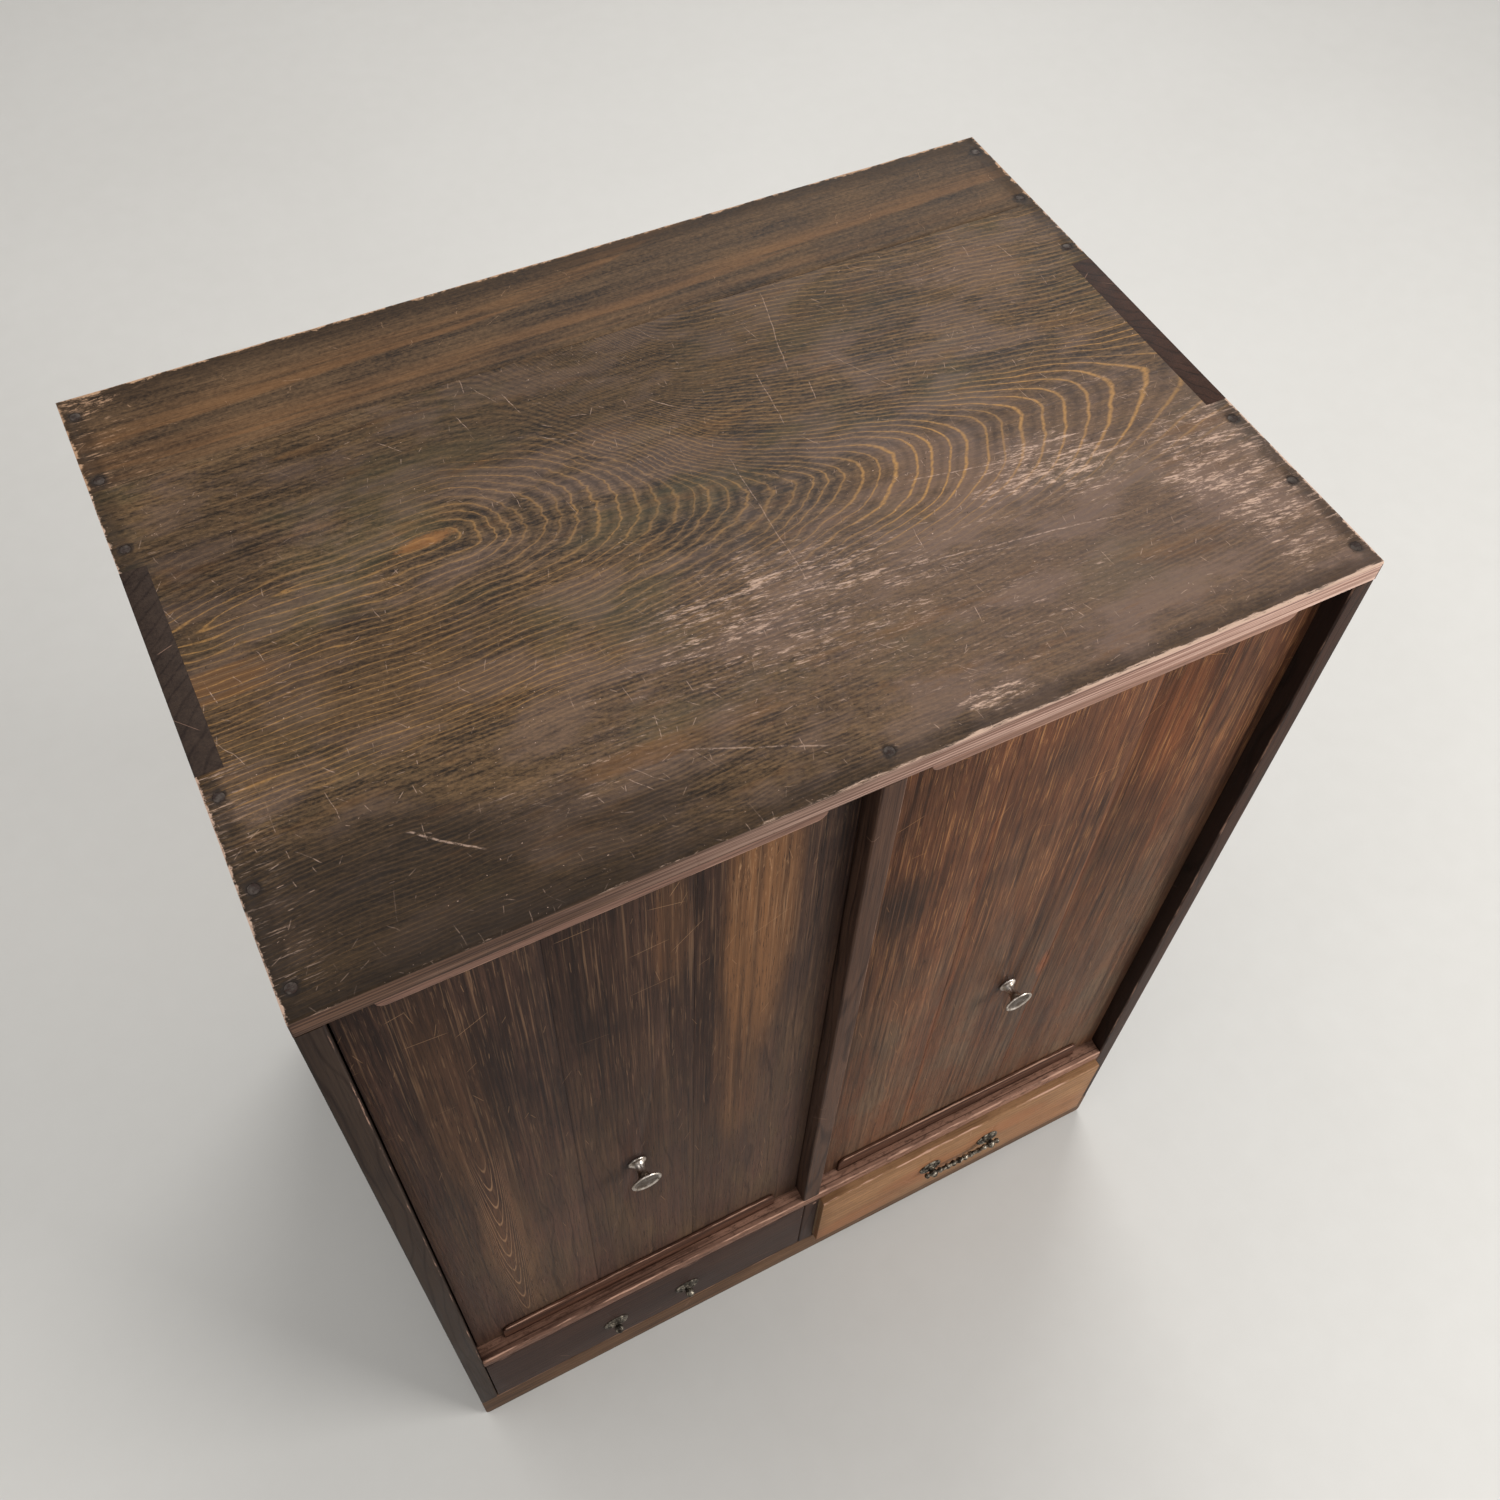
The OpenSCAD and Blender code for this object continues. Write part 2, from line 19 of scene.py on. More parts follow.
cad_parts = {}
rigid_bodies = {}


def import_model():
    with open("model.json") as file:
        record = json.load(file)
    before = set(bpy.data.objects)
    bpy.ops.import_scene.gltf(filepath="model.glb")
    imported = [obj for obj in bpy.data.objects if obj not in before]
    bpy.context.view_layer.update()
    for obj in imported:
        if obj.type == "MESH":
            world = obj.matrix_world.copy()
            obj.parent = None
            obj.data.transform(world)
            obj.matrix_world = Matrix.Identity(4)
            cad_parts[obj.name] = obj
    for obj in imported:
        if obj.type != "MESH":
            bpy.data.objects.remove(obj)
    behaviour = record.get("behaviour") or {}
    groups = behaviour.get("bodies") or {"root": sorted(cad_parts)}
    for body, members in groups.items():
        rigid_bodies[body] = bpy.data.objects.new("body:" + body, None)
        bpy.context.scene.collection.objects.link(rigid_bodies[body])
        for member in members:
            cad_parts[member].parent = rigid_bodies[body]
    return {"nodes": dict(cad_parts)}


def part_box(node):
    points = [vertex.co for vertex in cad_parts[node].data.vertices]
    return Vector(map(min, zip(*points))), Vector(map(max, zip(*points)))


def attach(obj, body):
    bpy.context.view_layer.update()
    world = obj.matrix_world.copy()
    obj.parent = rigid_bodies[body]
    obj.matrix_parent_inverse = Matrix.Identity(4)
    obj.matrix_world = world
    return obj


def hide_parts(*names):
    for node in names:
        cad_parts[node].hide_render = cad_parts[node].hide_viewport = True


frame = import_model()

logging.basicConfig(level=logging.INFO, format="%(name)s: %(message)s")
log = logging.getLogger("cabinet")

MM = 0.001
HALF_WIDTH = 303.0
CASE_DEPTH = 420.0
NAIL_X = 296.0
POST_NAIL_Y = 9.8
BACK_NAILS_Y = (350.0, 404.5)
CASE_TOP = 788.0
RANGE_X = 310.0
WELD_DISTANCE = 0.002 * MM
FLAT_ANGLE = math.radians(0.4)
WEAR_REACH = 2.2 * MM
SEED_STEP = 7.31
SEED_SHARES = (1.0, 1.7, 0.6)
CASE_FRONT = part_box("left_side")[0].y
DRAWER_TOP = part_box("left_drawer_front")[1].z / MM
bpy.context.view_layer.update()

Colour = tuple[float, float, float]
Number = Union["Field", float]


def tint(red: int, green: int, blue: int) -> Colour:
    """A colour given as it is seen on a screen, turned to the linear values that shaders take.

    Args:
        red, green, blue: screen values from 0 to 255.

    Returns:
        The three linear values.
    """
    shares = [value / 255 for value in (red, green, blue)]
    return tuple(s / 12.92 if s <= 0.04045 else ((s + 0.055) / 1.055) ** 2.4 for s in shares)


def seed_of(name: str, wheel: int, pitch: float) -> float:
    """A number that goes with a name and is the same in every run."""
    return sum(ord(letter) for letter in name) % wheel * pitch


RUST_STAIN = tint(30, 24, 21)
INNER_SHADE = tint(24, 14, 10)
SEAM_DIRT = tint(40, 29, 22)


class Grain(Enum):
    """Direction of the wood's grain in a board."""

    ACROSS = "x"
    DEEP = "y"
    UPRIGHT = "z"


# Finishes: fields of numbers over a surface


class Field:
    """A number that varies over a surface, as the output of a shader node."""

    def __init__(self, graph: "Graph", socket: bpy.types.NodeSocket) -> None:
        """Keeps the socket and the graph that it belongs to."""
        self.graph = graph
        self.socket = socket

    def __add__(self, other: Number) -> "Field":
        """Sum."""
        return self.graph.math("ADD", self, other)

    def __sub__(self, other: Number) -> "Field":
        """Difference."""
        return self.graph.math("SUBTRACT", self, other)

    def __rsub__(self, other: float) -> "Field":
        """Difference from a plain number."""
        return self.graph.math("SUBTRACT", other, self)

    def __mul__(self, other: Number) -> "Field":
        """Product."""
        return self.graph.math("MULTIPLY", self, other)

    def __truediv__(self, other: Number) -> "Field":
        """Quotient."""
        return self.graph.math("DIVIDE", self, other)

    def __pow__(self, other: Number) -> "Field":
        """Power."""
        return self.graph.math("POWER", self, other)

    __radd__ = __add__
    __rmul__ = __mul__

    def squares(self, other: "Field") -> "Field":
        """Sum of the squares of this and another value."""
        return self * self + other * other

    def hypot(self, other: "Field") -> "Field":
        """Length of the line whose two parts are this and another value."""
        return self.squares(other) ** 0.5

    def sway(self, amount: float) -> "Field":
        """A cloud's value about its mean of 0.5, times an amount."""
        return (self - 0.5) * amount

    def size(self) -> "Field":
        """Value without its sign."""
        return self.graph.math("ABSOLUTE", self)

    def at_least(self, other: Number) -> "Field":
        """The larger of this and another value."""
        return self.graph.math("MAXIMUM", self, other)

    def at_most(self, other: Number) -> "Field":
        """The smaller of this and another value."""
        return self.graph.math("MINIMUM", self, other)

    def saw(self) -> "Field":
        """Distance to the nearest whole number, from 0 to 0.5."""
        return self.graph.math("PINGPONG", self, 0.5)

    def step(self, low: float, high: float) -> "Field":
        """Smooth step between two values.

        Args:
            low, high: values that give 0 and 1, where low may be the larger one.

        Returns:
            The step as a field.
        """
        first, last = (1.0, 0.0) if low > high else (0.0, 1.0)
        node = self.graph.add("ShaderNodeMapRange", Value=self, From_Min=min(low, high),
                              From_Max=max(low, high), To_Min=first, To_Max=last)
        node.interpolation_type = "SMOOTHSTEP"
        return Field(self.graph, node.outputs["Result"])

    def between(self, low: float, high: float, soft: float) -> "Field":
        """1 between low and high, falling to 0 over the width soft on both sides."""
        return self.step(low - soft, low) * self.step(high + soft, high)


@dataclass(frozen=True)
class Patch:
    """A soft oval place on a surface, in millimetres."""

    u: float
    v: float
    half_u: float
    half_v: float
    strength: float = 1.0


@dataclass(frozen=True)
class Stroke:
    """One long scratch from a point to another, in millimetres."""

    u: float
    v: float
    end_u: float
    end_v: float
    width: float = 0.5
    strength: float = 0.8


@dataclass(frozen=True)
class Arris:
    """A worn edge of a board: the two coordinates that stay the same along it, in millimetres."""

    x: Optional[float] = None
    y: Optional[float] = None
    z: Optional[float] = None
    width: float = 1.2
    strength: float = 0.6


@dataclass
class Place:
    """Case coordinates of a surface, in millimetres."""

    vector: bpy.types.NodeSocket
    x: Field
    y: Field
    z: Field

    def cloud(self, size: Sequence[float], detail: float = 3.0, rough: float = 0.55) -> Field:
        """Noise over the surface, as Graph.cloud makes it."""
        return self.x.graph.cloud(self.vector, size, detail, rough)

    def along(self, grain: Grain) -> tuple[Field, Field, Field]:
        """Coordinates in the order of a board's own directions.

        Args:
            grain: direction of the board's grain.

        Returns:
            The coordinate along the grain, and then the two across it.
        """
        if grain is Grain.ACROSS:
            return self.x, self.y, self.z
        if grain is Grain.DEEP:
            return self.y, self.x, self.z
        return self.z, self.x, self.y


class Graph:
    """Shader nodes of one material, joined by plain calls."""

    def __init__(self, name: str, seed: float = 0.0) -> None:
        """Makes the material with a Principled shader.

        Args:
            name: name of the material.
            seed: number that moves all of its noise.
        """
        self.material = bpy.data.materials.new(name)
        self.material.use_nodes = True
        self.tree = self.material.node_tree
        self.tree.nodes.clear()
        self.shader = self.add("ShaderNodeBsdfPrincipled")
        self.add("ShaderNodeOutputMaterial", self.shader.outputs["BSDF"])
        self.seed = seed

    def add(self, kind: str, *values: object, **named: object) -> bpy.types.Node:
        """A new node with its inputs filled.

        Args:
            kind: Blender's name for this kind of node.
            values: what goes into the first inputs, in their order.
            named: what goes into inputs by name, with an underscore for each blank.

        Returns:
            The node.
        """
        node = self.tree.nodes.new(kind)
        for socket, value in zip(node.inputs, values):
            self.put(socket, value)
        self.feed(node, **named)
        return node

    def feed(self, node: bpy.types.Node, **named: object) -> None:
        """Fills inputs of a node by name, with an underscore for each blank."""
        for name, value in named.items():
            self.put(node.inputs[name.replace("_", " ")], value)

    def put(self, socket: bpy.types.NodeSocket, value: object) -> None:
        """Links a field or socket to an input, or sets a plain value on it.

        Args:
            socket: the input.
            value: field, socket, number or colour.
        """
        if isinstance(value, Field):
            self.tree.links.new(value.socket, socket)
        elif isinstance(value, bpy.types.NodeSocket):
            self.tree.links.new(value, socket)
        elif isinstance(value, tuple) and len(value) == 3 and socket.type == "RGBA":
            socket.default_value = (*value, 1.0)
        else:
            socket.default_value = value

    def math(self, operation: str, first: Number, second: Number = 0.5) -> Field:
        """One Math node.

        Args:
            operation: name of the sum in Blender.
            first, second: fields or plain numbers.

        Returns:
            The result as a field.
        """
        node = self.add("ShaderNodeMath", first, second)
        node.operation = operation
        return Field(self, node.outputs[0])

    def place(self) -> Place:
        """Case coordinates in millimetres, from the piece's own coordinates.

        Returns:
            The coordinates of each point of the surface.
        """
        source = self.add("ShaderNodeTexCoord")
        mapping = self.add("ShaderNodeMapping", Vector=source.outputs["Object"],
                           Location=(0, -CASE_FRONT / MM, 0), Scale=(1 / MM, 1 / MM, 1 / MM))
        split = self.add("ShaderNodeSeparateXYZ", mapping.outputs[0])
        return Place(mapping.outputs[0], *(Field(self, output) for output in split.outputs))

    def vector(self, x: Number, y: Number, z: Number = 0.0) -> bpy.types.NodeSocket:
        """A vector made of three fields."""
        return self.add("ShaderNodeCombineXYZ", x, y, z).outputs[0]

    def scaled(self, vector: bpy.types.NodeSocket, size: Sequence[float]) -> bpy.types.NodeSocket:
        """The vector divided by a size along each axis, and moved by a new seed each time.

        Args:
            vector: the vector's socket.
            size: size along each axis.

        Returns:
            The socket of the new vector.
        """
        self.seed += SEED_STEP
        shift = [self.seed * share for share in SEED_SHARES]
        node = self.add("ShaderNodeMapping", Vector=vector, Location=shift, Scale=[1 / s for s in size])
        return node.outputs[0]

    def cloud(self, vector: bpy.types.NodeSocket, size: Sequence[float], detail: float = 3.0,
              rough: float = 0.55) -> Field:
        """Noise with spots of the given size in millimetres along each axis.

        Args:
            vector: place on the surface.
            size: size of the spots along X, Y and Z.
            detail: number of finer layers.
            rough: strength of the finer layers.

        Returns:
            A field from 0 to 1 with 0.5 as its mean.
        """
        node = self.add("ShaderNodeTexNoise", Vector=self.scaled(vector, size), Scale=1.0, Detail=detail,
                        Roughness=rough, Distortion=0.0)
        return Field(self, node.outputs["Fac"])

    def curve(self, value: Field, low: float, high: float, top: float,
              handles: Sequence[tuple[float, float]]) -> Field:
        """A free curve through a few handles.

        Args:
            value: the field that runs along the curve.
            low, high: ends of its range.
            top: the largest result.
            handles: value and result of each handle.

        Returns:
            The result as a field.
        """
        node = self.add("ShaderNodeFloatCurve", Value=(value - low) / (high - low))
        line = node.mapping.curves[0]
        spots = [((v - low) / (high - low), r / top) for v, r in handles]
        line.points[0].location = spots[0]
        line.points[1].location = spots[-1]
        for spot in spots[1:-1]:
            line.points.new(*spot)
        node.mapping.update()
        return Field(self, node.outputs[0]) * top

    def mix(self, share: Number, first: object, second: object) -> bpy.types.NodeSocket:
        """Two colours mixed by a field.

        Args:
            share: 0 for the first colour, 1 for the second.
            first, second: colours or colour sockets.

        Returns:
            The colour socket.
        """
        node = self.add("ShaderNodeMix")
        node.data_type = "RGBA"
        node.clamp_factor = True
        self.put(node.inputs[0], share)
        self.put(node.inputs[6], first)
        self.put(node.inputs[7], second)
        return node.outputs[2]

    def spot(self, place_u: Field, place_v: Field, patch: "Patch") -> Field:
        """A soft oval round a place.

        Args:
            place_u, place_v: coordinates on the surface, in millimetres.
            patch: the oval.

        Returns:
            A field that is 1 in its middle and 0 outside.
        """
        u = (place_u - patch.u) / patch.half_u
        v = (place_v - patch.v) / patch.half_v
        return u.squares(v).step(1.0, 0.1) * patch.strength

    def stroke(self, u: Field, v: Field, stroke: "Stroke") -> Field:
        """One long scratch, 1 on its line and 0 outside.

        Args:
            u, v: coordinates on the surface, in millimetres.
            stroke: the scratch.

        Returns:
            A field that is 1 in the scratch.
        """
        run_u, run_v = stroke.end_u - stroke.u, stroke.end_v - stroke.v
        length = math.hypot(run_u, run_v)
        run_u, run_v = run_u / length, run_v / length
        off_u, off_v = u - stroke.u, v - stroke.v
        run = off_u * run_u + off_v * run_v
        side = off_v * run_u - off_u * run_v
        waver = self.cloud(self.vector(u, v), (26, 26, 26), 3, 0.6)
        thin = (side + waver.sway(4)).size().step(stroke.width, stroke.width * 0.4)
        return thin * run.between(0, length, length * 0.15) * stroke.strength

    def worn(self, place: Place, arris: "Arris", size: Sequence[float]) -> Field:
        """Wear along one edge of a board, with a ragged border.

        Args:
            place: case coordinates.
            arris: the edge.
            size: size of the border's unevenness along each axis, in millimetres.

        Returns:
            A field that is 1 on the edge.
        """
        pairs = ((place.x, arris.x), (place.y, arris.y), (place.z, arris.z))
        first, second = [axis - value for axis, value in pairs if value is not None]
        gap = first.hypot(second)
        ragged = gap + (place.cloud(size, 4, 0.7) - 0.5) * arris.width * 4.5
        return ragged.step(arris.width, arris.width * 0.3) * arris.strength

    def scratches(self, u: Field, v: Field, cell: float, length: float, width: float, lean: float,
                  spread: float, share: float) -> Field:
        """Thin scratches, one at most in each cell of a loose pattern.

        Args:
            u, v: coordinates on the surface, in millimetres.
            cell: mean distance between scratches.
            length, width: half the size of a scratch.
            lean, spread: mean direction and its scatter, in radians.
            share: share of cells that hold a scratch.

        Returns:
            A field that is 1 in a scratch.
        """
        flat = self.scaled(self.vector(u, v), (cell, cell, cell))
        cells = self.add("ShaderNodeTexVoronoi", Vector=flat, Scale=1.0)
        cells.voronoi_dimensions = "2D"
        away = self.add("ShaderNodeVectorMath", flat, cells.outputs["Position"])
        away.operation = "SUBTRACT"
        chance = self.add("ShaderNodeSeparateColor", cells.outputs["Color"])
        red, green, blue = (Field(self, output) for output in chance.outputs)
        turn = self.add("ShaderNodeVectorRotate", Vector=away.outputs[0], Angle=red.sway(spread) - lean)
        turn.rotation_type = "Z_AXIS"
        split = self.add("ShaderNodeSeparateXYZ", turn.outputs[0])
        run, side = Field(self, split.outputs[0]) * cell, Field(self, split.outputs[1]) * cell
        thin = side.size().step(width, width * 0.3)
        short = (run.size() / (blue + 0.35)).step(length, length * 0.6)
        return thin * short * green.step(share, share - 0.02)

    def edge_distance(self, place: Place, low: Vector, high: Vector) -> Field:
        """Distance to the nearest edge of a box, for points on its faces, in millimetres.

        Args:
            place: case coordinates.
            low, high: corners of the box in metres of the frame.

        Returns:
            The middle one of the three distances to the faces.
        """
        shift = Vector((0, CASE_FRONT, 0))
        middle = ((low + high) / 2 - shift) / MM
        half = (high - low) / 2 / MM
        gaps = [half[i] - (axis - middle[i]).size() for i, axis in enumerate((place.x, place.y, place.z))]
        return gaps[0].at_most(gaps[1]).at_least(gaps[0].at_least(gaps[1]).at_most(gaps[2]))

    def bump(self, height: Field, depth: float, strength: float = 1.0) -> None:
        """Relief from a field, where depth is the height in millimetres of one unit."""
        node = self.add("ShaderNodeBump", Strength=strength, Distance=depth * MM, Height=height)
        self.feed(self.shader, Normal=node.outputs[0])

    def finish(self, colour: object, rough: Number, metal: float = 0.0, sheen: float = 0.5) -> None:
        """Sets the shader's main inputs.

        Args:
            colour: colour socket.
            rough: roughness.
            metal: 1 for metal.
            sheen: strength of the mirror part of a coat or lacquer.
        """
        self.feed(self.shader, Base_Color=colour, Roughness=rough, Metallic=metal, Specular_IOR_Level=sheen)


class Finish(ABC):
    """A finish that makes a material for each piece."""

    @abstractmethod
    def material(self, piece: str) -> bpy.types.Material:
        """The material for a piece.

        Args:
            piece: name of the frame's node that the piece stands for.

        Returns:
            The new material.
        """


@dataclass(frozen=True)
class BoardFinish(Finish):
    """Stained or bare softwood with rings, fibres, pores, rubbed edges and scratches."""

    name: str
    grain: Grain
    dark: Colour
    light: Colour
    rubbed: Colour
    arrises: tuple[Arris, ...] = ()
    patches: tuple[Patch, ...] = ()
    stain: Colour = tint(146, 92, 60)
    stains: tuple[Patch, ...] = ()
    right_share: float = 0.0
    ring_pitch: float = 7.0
    ring_depth: float = 55.0
    ring_strength: float = 0.3
    fibre_strength: float = 0.5
    blotch_strength: float = 0.5
    scratch_share: float = 0.3
    scratch_strength: float = 0.3
    dirt_strength: float = 0.3
    seam_strength: float = 0.0
    piece_spread: float = 0.0
    speckle: float = 0.0
    dark_line_y: Optional[float] = None
    inside_x: Optional[float] = None
    rough: float = 0.6
    sheen: float = 0.14

    def long_size(self, along: float, across: float) -> tuple[float, float, float]:
        """Size of a noise spot that is long along the grain.

        Args:
            along, across: its size along the grain and across it.

        Returns:
            Its size along X, Y and Z.
        """
        sizes = {Grain.ACROSS: (along, across, across), Grain.DEEP: (across, along, across),
                 Grain.UPRIGHT: (across, across, along)}
        return sizes[self.grain]

    def material(self, piece: str) -> bpy.types.Material:
        """The material of one board, with its own seed.

        Args:
            piece: name of the frame's node.

        Returns:
            The new material.
        """
        graph = Graph(f"{self.name}.{piece}", seed_of(piece, 97, 3.1))
        place = graph.place()
        run, across, deep = place.along(self.grain)
        bend = place.cloud(self.long_size(160, 45), 2)
        shift = place.cloud(self.long_size(320, 200), 1)
        off = across + bend.sway(26) + shift.sway(60) + graph.seed % 37
        far = deep + self.ring_depth + bend.sway(14)
        rings = (off.hypot(far) / self.ring_pitch).saw() * 2
        late = rings.step(0.66, 1.0)
        fibre = place.cloud(self.long_size(60, 1.2), 3, 0.6)
        streak = place.cloud(self.long_size(240, 7), 3, 0.6)
        blotch = place.cloud(self.long_size(90, 38), 4, 0.6)
        pore = place.cloud(self.long_size(16, 0.55), 2, 0.6).step(0.60, 0.72)
        tone = blotch.sway(self.blotch_strength) * 1.6 + streak.sway(self.fibre_strength) * 1.6
        tone = tone + fibre.sway(self.fibre_strength) * 2.6 + 0.45 - late * self.ring_strength
        own_tone = (graph.seed * 0.37 % 1.0 - 0.5) * self.piece_spread
        # Painted light: lighter towards the right, where the light comes from.
        tone = tone + place.x.step(-300, 300) * self.right_share + own_tone
        colour = graph.mix(tone, self.dark, self.light)
        colour = graph.mix(pore * self.fibre_strength, colour, self.dark)
        speck = place.cloud(self.long_size(9, 3.6), 4, 0.75).step(0.50, 0.64)
        colour = graph.mix(speck * self.speckle, colour, self.dark)
        from_edge = graph.edge_distance(place, *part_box(piece))
        # Darker within 16 mm of the board's edges, in patches.
        near_edge_dark = from_edge.step(16, 1) * blotch.step(0.35, 0.7)
        colour = graph.mix(near_edge_dark * self.dirt_strength, colour, self.dark)
        colour = graph.mix(from_edge.step(2.2, 0.4) * self.seam_strength, colour, SEAM_DIRT)
        for patch in self.stains:
            soaked = graph.spot(place.x + blotch.sway(60), place.z + blotch.sway(30), patch)
            colour = graph.mix(soaked * (streak.step(0.25, 0.6) * 0.5 + 0.5), colour, self.stain)
        marks = graph.scratches(run + deep, across + deep * 0.7, 34, 9, 0.3, 0.4, 2.6, self.scratch_share)
        colour = graph.mix(marks * self.scratch_strength, colour, self.rubbed)
        for patch in self.patches:
            rubbed_spot = graph.spot(place.x, place.z, patch)
            rub = rubbed_spot * place.cloud(self.long_size(18, 3), 4, 0.7)
            colour = graph.mix(rub.step(0.3, 0.7), colour, self.rubbed)
        for arris in self.arrises:
            colour = graph.mix(graph.worn(place, arris, self.long_size(38, 3.2)), colour, self.rubbed)
        if self.dark_line_y is not None:
            line = (place.y - self.dark_line_y + fibre.sway(1.2)).size().step(0.7, 0.2)
            colour = graph.mix(line * 0.8, colour, self.dark)
        if self.inside_x is not None:
            inside = (place.x.size() - self.inside_x).step(0.3, -0.2) * place.y.step(-0.5, 0.8)
            colour = graph.mix(inside * 0.9, colour, INNER_SHADE)
        graph.finish(colour, fibre.sway(0.3) + blotch.sway(0.2) + self.rough, sheen=self.sheen)
        graph.bump(fibre * 0.8 - late * 0.4 - pore * 0.6 - marks * 0.5, 0.25, 0.6)
        return graph.material


@dataclass(frozen=True)
class DoorFinish(Finish):
    """Stained upright boards of one door: streaks, worn places, painted light at the top, painted knob
    shadow.
    """

    name: str
    dark: Colour
    mid: Colour
    bright: Colour
    dash: Colour
    top_glow: float
    knob_node: str
    streaks: tuple[Patch, ...]
    pale_spots: tuple[Patch, ...]
    arch_x: float
    arch_share: float
    dash_share: float = 0.2
    fibre_gain: float = 1.2
    streak_gain: float = 0.6
    cloud_gain: float = 0.6
    tone: float = 0.2
    low_gain: float = 0.4
    moss: Colour = tint(98, 76, 55)
    moss_share: float = 0.6
    late_share: float = 0.5
    rough: float = 0.58
    sheen: float = 0.12

    def material(self, piece: str) -> bpy.types.Material:
        """The material of one door board.

        Args:
            piece: name of the frame's node.

        Returns:
            The new material.
        """
        graph = Graph(f"{self.name}.{piece}", seed_of(self.name, 89, 2.3))
        place = graph.place()
        x, z = place.x, place.z
        tone_of_board = {"1": -0.04, "2": 0.0, "3": 0.05}[piece[-1]]
        wave = place.cloud((40, 40, 260), 2)
        fibre = place.cloud((1.3, 4, 90), 3, 0.6)
        streak = place.cloud((5.5, 30, 330), 4, 0.62)
        broad = place.cloud((34, 60, 480), 3, 0.55)
        cloudy = place.cloud((60, 60, 120), 4, 0.6)
        pore = place.cloud((0.5, 3, 13), 2, 0.6).step(0.58, 0.7)
        rings = ((x + wave.sway(46)) / 13).saw() * 2
        late = rings.step(0.80, 1.0) * streak.step(0.35, 0.6)
        tone = streak.sway(self.streak_gain) + broad.sway(0.7) + cloudy.sway(self.cloud_gain)
        tone = tone + fibre.sway(self.fibre_gain)
        tone = tone + z.step(720, 180) * self.low_gain + self.tone + tone_of_board
        colour = graph.mix(tone, self.dark, self.mid)
        band = place.cloud((24, 60, 420), 3, 0.6).step(0.42, 0.60)
        mottle = place.cloud((30, 40, 60), 5, 0.68).step(0.42, 0.62)
        mossy = (band * 0.6 + mottle * 0.7) * (z.step(740, 330) * 0.65 + 0.35) * self.moss_share
        colour = graph.mix(mossy, colour, graph.mix(tone, self.dark, self.moss))
        colour = graph.mix(late * self.late_share, colour, self.dark)
        # Painted light: the door grows lighter towards its top, most on the right door; the streaks added
        # below are the wood's own.
        bright = z.step(330, 745) * cloudy.step(0.25, 0.75) * self.top_glow
        bright = bright * (streak.step(0.3, 0.75) * 0.6 + 0.4)
        for patch in self.streaks:
            ragged = graph.spot(x + wave.sway(16) + streak.sway(14), z + cloudy.sway(90), patch)
            bright = bright.at_least(ragged * (streak.step(0.2, 0.75) * 0.75 + 0.15))
        colour = graph.mix(bright, colour, self.bright)
        arch_u = x - self.arch_x + wave.sway(8)
        arches = (arch_u * arch_u / 16 - z / 34).saw() * 2
        figure = arches.step(0.75, 1.0) * arch_u.size().step(17, 8) * z.between(215, 470, 60)
        colour = graph.mix(figure * self.arch_share, colour, self.dash)
        colour = graph.mix(pore * 0.7, colour, self.dark)
        dashes = place.cloud((1.2, 3, 34), 3, 0.6).step(0.57, 0.70)
        long_dashes = place.cloud((1.7, 3, 130), 3, 0.6).step(0.56, 0.70)
        dashes = dashes.at_least(long_dashes)
        high = z.step(250, 720) * 0.7 + bright * 0.5 + 0.14
        colour = graph.mix(dashes * high * cloudy.step(0.25, 0.6) * self.dash_share, colour, self.dash)
        rub = place.cloud((2.4, 6, 20), 4, 0.75).step(0.55, 0.8)
        pale = z.step(712, 752) * 0.35
        for patch in self.pale_spots:
            pale = pale.at_least(graph.spot(x + wave.sway(10), z, patch))
        colour = graph.mix(pale * rub, colour, self.dash)
        marks = graph.scratches(x, z, 42, 12, 0.3, 0.3, 1.6, 0.45) * z.step(540, 720)
        marks = marks.at_least(graph.scratches(x, z, 26, 7, 0.28, 1.5, 0.9, 0.35) * 0.6)
        colour = graph.mix(marks * 0.4, colour, self.dash)
        # Painted shadow of the knob: a soft dark place above it and to its left.
        low, high_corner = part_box(self.knob_node)
        knob_x, knob_z = (low.x + high_corner.x) / 2 / MM, (low.z + high_corner.z) / 2 / MM
        from_x, from_z = (x - knob_x + 3) / 10.0, (z - knob_z - 4) / 12.0
        stain = (from_x.squares(from_z) + (cloudy - 0.5)).step(1.3, 0.2)
        colour = graph.mix(stain * 0.7, colour, self.dark)
        seam = graph.edge_distance(place, *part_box(piece)).step(1.4, 0.2)
        colour = graph.mix(seam * 0.35, colour, self.dark)
        graph.finish(colour, fibre.sway(0.3) + cloudy.sway(0.15) + self.rough, sheen=self.sheen)
        graph.bump(fibre * 0.8 - late * 0.3 - pore * 0.8 - marks * 0.5, 0.22, 0.6)
        return graph.material


